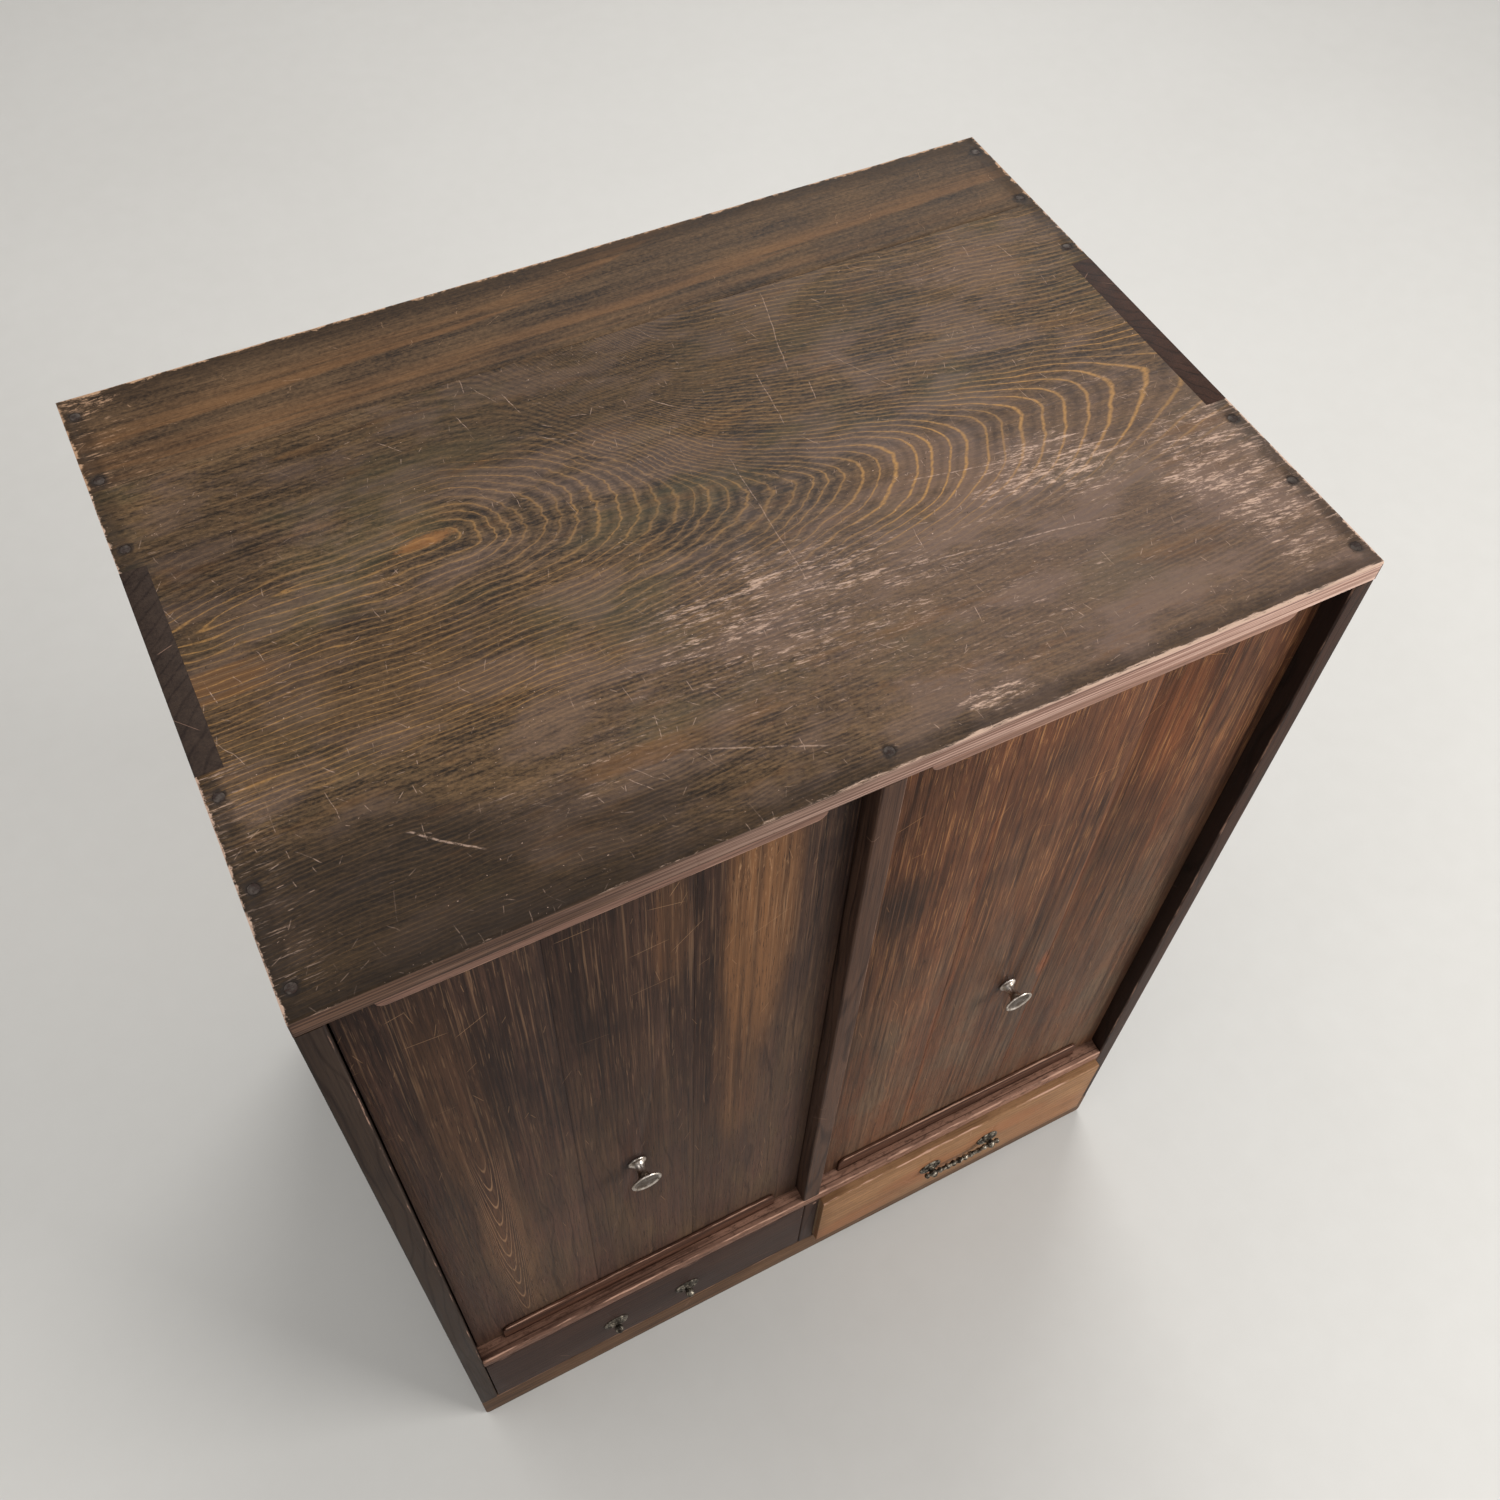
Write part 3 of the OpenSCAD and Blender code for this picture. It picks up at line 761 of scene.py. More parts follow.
@dataclass(frozen=True)
class TopFinish(Finish):
    """The broad front board of the top: an eye at the left, arches to the right, and much wear."""

    name: str
    dark: Colour
    mid: Colour
    olive: Colour
    maroon: Colour
    ochre: Colour
    line: Colour
    pink: Colour
    eye_y: float = 234.0
    axis_line: tuple[tuple[float, float], ...] = (
        (-RANGE_X, 222), (-150, 234), (-60, 231), (-10, 206), (35, 184), (100, 178), (RANGE_X, 175))
    rings_along: tuple[tuple[float, float], ...] = (
        (-RANGE_X, 2.6), (-156, 0.2), (-100, 6), (20, 17), (100, 24.5), (243, 35.5), (RANGE_X, 38))
    dark_patches: tuple[Patch, ...] = ()
    pale_patches: tuple[Patch, ...] = ()
    warm_patches: tuple[Patch, ...] = ()
    strokes: tuple[Stroke, ...] = ()
    nails_y: tuple[float, ...] = ()

    def ring_number(self, graph: Graph, place: Place) -> Field:
        """Counts the rings outwards from the eye, so that whole numbers lie on the ring lines.

        Args:
            graph: the material's graph.
            place: case coordinates.

        Returns:
            The number of the ring at each point.
        """
        drift = place.cloud((80, 60, 60), 2, 0.4)
        sway = place.cloud((70, 60, 60), 2, 0.4)
        x = place.x + drift.sway(20)
        y = place.y + sway.sway(14)
        axis = graph.curve(x, -RANGE_X, RANGE_X, 300, self.axis_line)
        along = graph.curve(x, -RANGE_X, RANGE_X, 50, self.rings_along)
        below = (self.eye_y - y).at_least(0.0)
        lower = below * 0.17 + below * below * 0.0006
        above = (y - axis).at_least(0.0)
        fan = x.step(-90, 30) * 0.55 + 0.45
        upper = above * fan * 0.5 / (above / 600 + 1)
        near = (along ** 3 + lower ** 3) ** (1 / 3)
        count = near.hypot(upper)
        flutter = place.cloud((30, 5, 20), 2, 0.5)
        season = graph.cloud(graph.vector(count, 0.0), (3.2, 1, 1), 2, 0.5)
        return count + (flutter - 0.5) * (x.step(140, 20) * 0.5 + 0.2) + season.sway(1.5)

    def ground(self, graph: Graph, place: Place, blotch: Field, fibre: Field,
               ring: Field) -> bpy.types.NodeSocket:
        """The old stain without wear, patched in brown, olive, purple and ochre, and in painted shade.

        Args:
            graph: the material's graph.
            place: case coordinates.
            blotch: broad clouds.
            fibre: fine fibres.
            ring: rings, 1 on their lines and 0 between them.

        Returns:
            The colour socket.
        """
        streak = place.cloud((150, 6, 6), 4, 0.6)
        slanted = graph.vector(place.x * 0.9 + place.y * -0.42, place.x * 0.42 + place.y * 0.9, place.z)
        hatch = graph.cloud(slanted, (28, 1.5, 3), 3, 0.62)
        grit = place.cloud((2.6, 1.8, 2), 4, 0.75)
        tone = blotch.sway(0.75) + streak.sway(0.9) + fibre.sway(1.8) + hatch.sway(1.1)
        tone = tone + grit.sway(2.0) + (ring - 0.5) * blotch.step(0.62, 0.35) * 0.5 + 0.44
        colour = graph.mix(tone, self.dark, self.mid)
        olive = place.cloud((95, 55, 50), 4, 0.6).step(0.5, 0.68)
        maroon = place.cloud((60, 30, 30), 4, 0.6).step(0.46, 0.62)
        maroon = maroon * 0.35 + place.x.step(-120, 200) * place.y.step(260, 100) * 0.35
        colour = graph.mix(olive * 0.35, colour, self.olive)
        colour = graph.mix(maroon, colour, self.maroon)
        ochre = place.cloud((60, 12, 30), 5, 0.7).step(0.55, 0.72) * 0.4
        for patch in self.warm_patches:
            warm = graph.spot(place.x, place.y + streak.sway(40), patch)
            ochre = ochre.at_least(warm * blotch.step(0.25, 0.6))
        colour = graph.mix(ochre, colour, self.ochre)
        # Painted shade, partly the board's own tone: broad dark patches, strongest at the front left.
        for patch in self.dark_patches:
            shade = graph.spot(place.x + blotch.sway(120), place.y + blotch.sway(90), patch)
            colour = graph.mix(shade, colour, self.dark)
        return colour

    def wear(self, graph: Graph, place: Place, blotch: Field) -> tuple[Field, Field]:
        """Where the stain is rubbed off.

        Args:
            graph: the material's graph.
            place: case coordinates.
            blotch: broad clouds that bend the borders of the worn places.

        Returns:
            The worn places as a whole, and the short pale flecks along the grain in them.
        """
        x, y = place.x, place.y
        zone = (place.cloud((46, 26, 30), 5, 0.7) - 0.55) * 2.0
        bend_u, bend_v = x + blotch.sway(110), y + blotch.sway(80)
        for patch in self.pale_patches:
            zone = zone.at_least(graph.spot(bend_u, bend_v, patch))
        patchy = place.cloud((17, 9, 9), 5, 0.72)
        zone = (zone * (patchy.step(0.28, 0.6) * 0.7 + 0.3)).at_least(0.0)
        fleck = graph.cloud(graph.vector(x, x * 0.2 + y, place.z), (12, 1.5, 4), 5, 0.75)
        fine = place.cloud((5, 1.0, 2), 3, 0.7)
        rubbed = place.cloud((70, 2.6, 4), 4, 0.6)
        flecks = (zone * 0.24 + fleck * 0.75 + fine * 0.5 + rubbed * 0.5 - 1.06).step(0.0, 0.18)
        return zone, flecks

    def material(self, piece: str) -> bpy.types.Material:
        """The material of the broad top board.

        Args:
            piece: name of the frame's node.

        Returns:
            The new material.
        """
        graph = Graph(f"{self.name}.{piece}", seed=4.0)
        place = graph.place()
        x, y, z = place.x, place.y, place.z
        on_top = z.step(CASE_TOP - 2.5, CASE_TOP - 0.8)
        fibre = place.cloud((40, 1.2, 1.2), 3, 0.62)
        blotch = place.cloud((75, 48, 48), 5, 0.6)
        grit = place.cloud((3.2, 2.2, 2.2), 4, 0.7)
        number = self.ring_number(graph, place)
        ring = number.saw() * 2
        colour = self.ground(graph, place, blotch, fibre, ring)
        line = ring.step(0.76, 0.98)
        groove = ring.step(0.45, 0.05)
        strong = y.between(126, 205, 36) * x.step(-60, 120) * 0.75
        strong = strong.at_least(y.between(120, 232, 25) * x.step(0, -130) * 0.42)
        strong = strong.at_least(y.step(205, 235) * x.step(-30, 120) * 0.3)
        strong = strong.at_least(y.between(140, 260, 30) * x.between(-130, 60, 60) * 0.35) + 0.08
        plain = x.step(-60, 60) * y.step(150, 110)
        strong = strong * (1 - plain * 0.8) * (blotch.step(0.25, 0.6) * 0.5 + 0.6)
        season = graph.cloud(graph.vector(number, 0.0), (1.4, 1, 1), 1, 0.5)
        strong = strong * (season.step(0.25, 0.55) * 0.6 + 0.4)
        colour = graph.mix(groove * (1 - plain) * 0.2, colour, self.dark)
        colour = graph.mix(line * strong * (grit.step(0.3, 0.6) * 0.8 + 0.35), colour, self.line)
        heart_u = (x + 154 + (y - self.eye_y) * -0.8) / 17.0
        heart_v = (y - self.eye_y) / 4.5
        heart = (heart_u.squares(heart_v) + grit.sway(2.4) + blotch.sway(2)).step(1.3, 0.2)
        colour = graph.mix(heart * 0.42, colour, tint(160, 104, 54))
        zone, pale = self.wear(graph, place, blotch)
        colour = graph.mix(zone * (grit.step(0.3, 0.65) * 0.3 + 0.08), colour, self.maroon)
        colour = graph.mix(pale * (zone * 0.62 + 0.14), colour, self.pink)
        side = HALF_WIDTH - x.size()
        rim = side.at_most(y) + place.cloud((12, 9, 9), 5, 0.75).sway(22)
        colour = graph.mix(rim.step(15, 4) * 0.55, colour, self.dark)
        crumb = place.cloud((22, 2.6, 2.6), 5, 0.78)
        lip = y + (1 - x.step(-150, 170)) * 1.8 + crumb.sway(8)
        colour = graph.mix(lip.step(1.6, 0.4) * 0.8, colour, self.pink)
        end_lip = side + place.cloud((5, 7, 5), 5, 0.8).sway(9)
        colour = graph.mix(end_lip.step(1.0, 0.0) * on_top * 0.8, colour, self.pink)
        torn = place.cloud((15, 1.5, 4), 4, 0.7).step(0.56, 0.68) * side.step(34, 4)
        torn = torn * y.between(20, 136, 14) * blotch.step(0.3, 0.6)
        colour = graph.mix(torn * 0.55, colour, self.pink)
        bent = place.cloud((18, 18, 18), 2, 0.5)
        bent_x, bent_y = x + bent.sway(4), y + bent.sway(4)
        crowd = place.cloud((55, 45, 45), 3, 0.6).step(0.46, 0.62) * 0.8 + 0.15
        marks = graph.scratches(bent_x, bent_y, 30, 9, 0.32, 1.9, 1.2, 0.5) * crowd
        marks = marks.at_least(graph.scratches(bent_x, bent_y, 17, 3, 0.32, 0.5, 3.0, 0.45) * crowd * 0.7)
        marks = marks.at_least(graph.scratches(bent_x, bent_y, 100, 26, 0.3, 2.3, 0.7, 0.4) * 0.6)
        short_marks = graph.scratches(bent_x, bent_y, 11, 3.2, 0.32, 2.2, 3.0, 0.42) * (crowd * 0.5 + 0.2)
        marks = marks.at_least(short_marks)
        for stroke in self.strokes:
            marks = marks.at_least(graph.stroke(x, y, stroke))
        marks = marks * grit.step(0.36, 0.6)
        colour = graph.mix(marks * on_top * 0.6, colour, self.pink)
        dust = place.cloud((1.5, 1.3, 1.3), 1, 0.5).step(0.765, 0.80) * blotch.step(0.4, 0.6)
        colour = graph.mix(dust * 0.7, colour, self.pink)
        dent = place.cloud((2.6, 1.9, 1.9), 2, 0.5).step(0.72, 0.77)
        colour = graph.mix(dent * 0.55, colour, self.dark)
        colour = graph.mix(self.nail_stain(place) * 0.75, colour, RUST_STAIN)
        at_end = x.size().step(HALF_WIDTH - 1.0, HALF_WIDTH - 0.4)
        rim_colour = graph.mix(at_end, self.front_edge(graph, place), self.end_grain(graph, place))
        colour = graph.mix(on_top, rim_colour, colour)
        graph.finish(colour, fibre.sway(0.25) + blotch.sway(0.25) + pale * 0.12 + 0.54, sheen=0.12)
        relief = fibre * 0.7 + line * 0.5 - groove * 0.3
        graph.bump(relief - marks * 0.9 - dent * 1.2 + grit * 0.3, 0.25, 0.65)
        return graph.material

    def front_edge(self, graph: Graph, place: Place) -> bpy.types.NodeSocket:
        """The narrow front face: thin layers that run along it, paler to the right by wear and painted
        light.

        Args:
            graph: the material's graph.
            place: case coordinates.

        Returns:
            The colour socket.
        """
        layers = place.cloud((170, 3, 1.3), 3, 0.62)
        # Paler towards the right: partly worn, partly painted light from the right.
        fade = place.x.step(-200, 190) * 0.85 + place.cloud((90, 9, 9), 3, 0.6).sway(0.7)
        deep = graph.mix(fade, tint(48, 32, 25), tint(142, 104, 88))
        pale = graph.mix(fade, tint(102, 76, 60), tint(216, 180, 162))
        colour = graph.mix(layers.step(0.38, 0.6), deep, pale)
        ragged = place.cloud((26, 3, 3), 4, 0.7).sway(3)
        arris = (place.z - (CASE_TOP - 1.4) + ragged).step(-0.4, 0.5) * (fade * 0.85 + 0.08)
        colour = graph.mix(arris, colour, tint(232, 204, 184))
        gap = (place.z - (CASE_TOP - 3.4) + ragged * 0.4).size().step(0.55, 0.15)
        return graph.mix(gap * 0.65, colour, tint(44, 28, 24))

    def end_grain(self, graph: Graph, place: Place) -> bpy.types.NodeSocket:
        """The sawn ends of the comb fingers: dark, speckled and rubbed a little at the top.

        Args:
            graph: the material's graph.
            place: case coordinates.

        Returns:
            The colour socket.
        """
        speck = place.cloud((3, 2.2, 1.6), 3, 0.6)
        broad = place.cloud((30, 30, 30), 3, 0.6)
        tone = speck.sway(1.8) + broad.sway(1.2) + 0.45
        colour = graph.mix(tone, tint(34, 23, 18), tint(88, 62, 48))
        rub = (place.z - (CASE_TOP - 2.2) + speck.sway(5)).step(-0.4, 0.6)
        return graph.mix(rub * 0.5, colour, tint(150, 116, 96))

    def nail_stain(self, place: Place) -> Field:
        """Dark rust round the nails, near both sides and over the post.

        Args:
            place: case coordinates.

        Returns:
            A field that is 1 in the rust.
        """
        to_side = place.x.size() - NAIL_X
        to_post = place.y - POST_NAIL_Y
        near = place.x.hypot(to_post)
        for y in self.nails_y:
            along = place.y - y
            near = near.at_most(to_side.hypot(along))
        return (near + place.cloud((4, 4, 4), 3, 0.6).sway(5)).step(5.4, 3.0)


@dataclass(frozen=True)
class BackBoardFinish(Finish):
    """The narrow back board of the top, with wide stripes that end in a sharp dark line."""

    name: str
    dark: Colour
    mid: Colour
    stripe: Colour
    pale: Colour
    near_line: tuple[tuple[float, float], ...] = (
        (-RANGE_X, 356), (-230, 352), (0, 357), (150, 367), (RANGE_X, 374))
    far_line: tuple[tuple[float, float], ...] = (
        (-RANGE_X, 372), (-150, 381), (-20, 390), (60, 412), (RANGE_X, 470))
    low_line: tuple[tuple[float, float], ...] = ((-RANGE_X, 344), (0, 348), (150, 350), (RANGE_X, 353))

    def stripe_field(self, graph: Graph, place: Place, handles: Sequence[tuple[float, float]],
                     width: float) -> Field:
        """One stripe that starts sharply at a wavy line and fades towards the back.

        Args:
            graph: the material's graph.
            place: case coordinates.
            handles: points of the line where the stripe starts.
            width: how far the stripe reaches.

        Returns:
            A field that is 1 at the start of the stripe.
        """
        start = graph.curve(place.x, -RANGE_X, RANGE_X, 520, handles)
        wave = place.cloud((60, 30, 30), 2)
        rise = place.y - start + wave.sway(5)
        return rise.step(-0.8, 1.2) * rise.step(width, 1)

    def material(self, piece: str) -> bpy.types.Material:
        """The material of the back board.

        Args:
            piece: name of the frame's node.

        Returns:
            The new material.
        """
        graph = Graph(f"{self.name}.{piece}", seed=61.0)
        place = graph.place()
        x, y, z = place.x, place.y, place.z
        fibre = place.cloud((40, 0.8, 0.8), 3, 0.6)
        streak = place.cloud((170, 5, 5), 4, 0.6)
        blotch = place.cloud((80, 30, 30), 5, 0.6)
        grit = place.cloud((3, 2, 2), 4, 0.7)
        tone = blotch.sway(1.2) + streak.sway(1.1) + fibre.sway(1.3) + grit.sway(1.6) + 0.45
        colour = graph.mix(tone, self.dark, self.mid)
        near = self.stripe_field(graph, place, self.near_line, 22)
        far = self.stripe_field(graph, place, self.far_line, 26)
        low = self.stripe_field(graph, place, self.low_line, 12) * 0.5
        stripes = near.at_least(far).at_least(low) * (blotch * 0.7 + 0.5)
        colour = graph.mix(stripes * (streak.step(0.3, 0.6) * 0.4), colour, self.stripe)
        side = HALF_WIDTH - x.size()
        edge = side.at_most(CASE_DEPTH - y) + place.cloud((12, 9, 9), 5, 0.75).sway(20)
        colour = graph.mix(edge.step(18, 6) * 0.55, colour, self.dark)
        chip = side.at_most(CASE_DEPTH - y) + place.cloud((9, 5, 5), 5, 0.8).sway(12)
        on_top = z.step(CASE_TOP - 3.5, CASE_TOP - 0.8)
        colour = graph.mix(chip.step(1.4, 0.2) * on_top * 0.8, colour, self.pale)
        broken = graph.spot(x, y, Patch(-294, 412, 36, 18, 0.8))
        broken = (broken + place.cloud((9, 3, 3), 5, 0.85).sway(3.4)).step(0.75, 1.1) * on_top
        colour = graph.mix(broken * 0.7, colour, self.pale)
        bent_x = x + blotch.sway(30)
        marks = graph.scratches(bent_x, y, 24, 6, 0.3, 1.7, 2.4, 0.4) * grit.step(0.36, 0.6)
        colour = graph.mix(marks * 0.35, colour, self.pale)
        torn = place.cloud((12, 2, 4), 4, 0.75).step(0.56, 0.68) * side.step(60, 10)
        colour = graph.mix(torn * x.step(0, -200) * 0.5, colour, self.pale)
        for nail_y in BACK_NAILS_Y:
            to_side, along = x.size() - NAIL_X, y - nail_y
            near_nail = to_side.hypot(along) + grit.sway(4)
            colour = graph.mix(near_nail.step(6.5, 3.2) * 0.75, colour, RUST_STAIN)
        graph.finish(colour, fibre.sway(0.3) + blotch.sway(0.2) + 0.56, sheen=0.12)
        graph.bump(fibre * 0.7 + stripes * 0.3 - marks * 0.8 - broken * 2.0, 0.25, 0.65)
        return graph.material


@dataclass(frozen=True)
class MetalFinish(Finish):
    """Old metal, crusted dark in spots and bright where it is rubbed; a knob's dish holds a painted dark
    reflection.
    """

    name: str
    dull: Colour
    bright: Colour
    crust_and_reflection: Colour
    rough: float
    metal: float
    spot_size: float = 1.6
    crust_share: float = 0.45
    dish_radius: float = 0.0
    dish_depth: float = 2.4

    def dish(self, place: Place, piece: str) -> Field:
        """The hollow in the front of a round fitting, painted dark as the reflection that it shows.

        Args:
            place: case coordinates.
            piece: name of the frame's node.

        Returns:
            A field that is 1 in the hollow and 0 on its rim and behind it.
        """
        low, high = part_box(piece)
        off_x = place.x - (low.x + high.x) / 2 / MM
        off_z = place.z - (low.z + high.z) / 2 / MM
        behind = place.y - (low.y - CASE_FRONT) / MM
        inside = off_x.hypot(off_z)
        round_mask = inside.step(self.dish_radius, self.dish_radius - 1.0)
        return round_mask * behind.step(self.dish_depth, self.dish_depth - 0.4)

    def material(self, piece: str) -> bpy.types.Material:
        """The material of one fitting.

        Args:
            piece: name of the frame's node.

        Returns:
            The new material.
        """
        graph = Graph(f"{self.name}.{piece}", seed_of(piece, 53, 1.9))
        place = graph.place()
        spots = place.cloud((self.spot_size * 2.4,) * 3, 4, 0.65)
        fine = place.cloud((self.spot_size * 0.5,) * 3, 3, 0.6)
        colour = graph.mix(spots.step(0.3, 0.7), self.dull, self.bright)
        crust_and_reflection_mask = (spots * 0.6 + fine * 0.4).step(self.crust_share + 0.12, self.crust_share - 0.08)
        # Painted reflection: the front dish of a knob is made dark, as it mirrors dark surroundings.
        if self.dish_radius > 0:
            crust_and_reflection_mask = crust_and_reflection_mask.at_least(self.dish(place, piece) * (fine.step(0.2, 0.5) * 0.3 + 0.7))
        colour = graph.mix(crust_and_reflection_mask * 0.8, colour, self.crust_and_reflection)
        graph.finish(colour, crust_and_reflection_mask * 0.3 + fine.sway(0.3) + self.rough, metal=self.metal)
        graph.bump(spots + fine * 0.5, 0.12, 0.5)
        return graph.material


@dataclass(frozen=True)
class FloorFinish(Finish):
    """Plain pale floor with the faintest unevenness."""

    name: str
    pale: Colour
    shade: Colour

    def material(self, piece: str) -> bpy.types.Material:
        """The floor's material.

        Args:
            piece: name of the frame's node.

        Returns:
            The new material.
        """
        graph = Graph(f"{self.name}.{piece}")
        place = graph.place()
        cloudy = place.cloud((700, 700, 700), 3)
        grain = place.cloud((25, 25, 25), 4, 0.6)
        colour = graph.mix(cloudy * 0.6 + grain * 0.25, self.shade, self.pale)
        graph.finish(colour, grain.sway(0.2) + 0.55, sheen=0.4)
        graph.bump(grain, 0.5, 0.25)
        return graph.material


# Work on meshes, as by hand


class Bench:
    """The few hand operations that every piece is made with."""

    @staticmethod
    def clear() -> None:
        """Deselects everything and leaves no active piece."""
        for other in bpy.context.view_layer.objects:
            other.select_set(False)
        bpy.context.view_layer.objects.active = None

    @staticmethod
    def take(piece: bpy.types.Object) -> None:
        """Makes a piece the only selected and active one.

        Args:
            piece: the piece.
        """
        Bench.clear()
        piece.select_set(True)
        bpy.context.view_layer.objects.active = piece

    @staticmethod
    @contextmanager
    def editing(piece: bpy.types.Object, kind: str = "FACE") -> Iterator[None]:
        """Edit mode on one piece.

        Args:
            piece: the piece to edit.
            kind: VERT, EDGE or FACE.

        Returns:
            Nothing; the block inside runs in edit mode.
        """
        Bench.take(piece)
        bpy.ops.object.mode_set(mode="EDIT")
        bpy.ops.mesh.select_mode(type=kind)
        yield
        bpy.ops.object.mode_set(mode="OBJECT")

    @staticmethod
    def ease(piece: bpy.types.Object, width: float, segments: int = 2, angle: float = 40.0) -> None:
        """Rounds the sharp edges by a Bevel modifier and applies it.

        Args:
            piece: the piece.
            width: width of the rounding in millimetres.
            segments: number of faces across it.
            angle: sharpest angle that is left alone, in degrees.
        """
        Bench.take(piece)
        bevel = piece.modifiers.new("ease", "BEVEL")
        bevel.width = width * MM
        bevel.segments = segments
        bevel.limit_method = "ANGLE"
        bevel.angle_limit = math.radians(angle)
        bevel.harden_normals = False
        bpy.ops.object.modifier_apply(modifier=bevel.name)

    @staticmethod
    def smooth(piece: bpy.types.Object, angle: float = 35.0) -> None:
        """Smooth shading up to an angle in degrees."""
        Bench.take(piece)
        bpy.ops.object.shade_smooth_by_angle(angle=math.radians(angle))

    @staticmethod
    def settle(piece: bpy.types.Object) -> None:
        """Moves a piece's place, turn and size into its mesh."""
        Bench.take(piece)
        bpy.ops.object.transform_apply(location=True, rotation=True, scale=True)


@dataclass
class Board:
    """A board or fitting of the frame, copied and eased, and worn at its edges if wear is above 0."""

    node: str
    body: str
    slot: str
    finish: Finish
    ease: float = 0.6
    cut_every: float = 0.0
    wear: float = 0.0

    def build(self) -> bpy.types.Object:
        """Makes the piece that stands for the node.

        Returns:
            The finished piece.
        """
        source = frame["nodes"][self.node]
        piece = bpy.data.objects.new(f"{self.node}_worn", source.data.copy())
        bpy.context.scene.collection.objects.link(piece)
        piece.data.materials.clear()
        with Bench.editing(piece, "VERT"):
            bpy.ops.mesh.select_all(action="SELECT")
            bpy.ops.mesh.remove_doubles(threshold=WELD_DISTANCE)
            bpy.ops.mesh.dissolve_limited(angle_limit=FLAT_ANGLE)
        Bench.ease(piece, self.ease)
        if self.cut_every:
            self.cut(piece)
            self.chafe(piece)
        Bench.smooth(piece)
        piece.data.materials.append(self.finish.material(self.node))
        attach(piece, self.body)
        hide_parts(self.node)
        log.info("%s: %d faces", piece.name, len(piece.data.polygons))
        return piece

    def cut(self, piece: bpy.types.Object) -> None:
        """Cuts the board across its length, so that its edges can be worn unevenly.

        Args:
            piece: the board's copy.
        """
        low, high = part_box(self.node)
        span = high - low
        axis = max(range(3), key=lambda i: span[i])
        normal = Vector([1.0 if i == axis else 0.0 for i in range(3)])
        count = int(span[axis] / (self.cut_every * MM))
        with Bench.editing(piece, "VERT"):
            for k in range(1, count):
                bpy.ops.mesh.select_all(action="SELECT")
                spot = low + normal * (span[axis] * k / count)
                bpy.ops.mesh.bisect(plane_co=spot, plane_no=normal, threshold=0.02 * MM)

    def chafe(self, piece: bpy.types.Object) -> None:
        """Moves the corner points of the outer edges inwards by an uneven amount.

        Args:
            piece: the board's copy.
        """
        low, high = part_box(self.node)
        middle = (low + high) / 2
        for point in piece.data.vertices:
            gaps = [min(point.co[i] - low[i], high[i] - point.co[i]) for i in range(3)]
            near = sorted(range(3), key=lambda i: gaps[i])[:2]
            if gaps[near[1]] > WEAR_REACH:
                continue
            slow = noise.noise(point.co * 35.0) + 0.5 * noise.noise(point.co * 110.0)
            amount = max(0.0, slow + 0.25) * self.wear * MM * (1 - gaps[near[1]] / WEAR_REACH)
            for i in near:
                point.co[i] += math.copysign(amount, middle[i] - point.co[i])


@dataclass
class Turned:
    """A fitting turned on the lathe, pointing along -Y from its place on a face."""

    name: str
    centre: Vector
    outline: Sequence[tuple[float, float]]
    vertices: int = 48

    def build(self) -> bpy.types.Object:
        """Extrudes a disc along its axis, ring by ring.

        Returns:
            The turned piece.
        """
        Bench.clear()
        first_radius, first_reach = self.outline[0]
        start = self.centre + Vector((0, -first_reach * MM, 0))
        bpy.ops.mesh.primitive_circle_add(vertices=self.vertices, radius=first_radius * MM,
                                          fill_type="NGON", location=start, rotation=(math.pi / 2, 0, 0))
        piece = bpy.context.view_layer.objects.active
        piece.name = self.name
        Bench.settle(piece)
        with Bench.editing(piece):
            bpy.ops.mesh.select_all(action="SELECT")
            radius, reach = first_radius, first_reach
            for next_radius, next_reach in self.outline[1:]:
                bpy.ops.mesh.extrude_region_move(
                    TRANSFORM_OT_translate={"value": (0, (reach - next_reach) * MM, 0)})
                share = next_radius / radius
                spot = self.centre + Vector((0, -next_reach * MM, 0))
                bpy.ops.transform.resize(value=(share, 1, share), center_override=spot)
                radius, reach = next_radius, next_reach
            bpy.ops.mesh.select_all(action="SELECT")
            bpy.ops.mesh.normals_make_consistent(inside=False)
        return piece


# Sub-assemblies


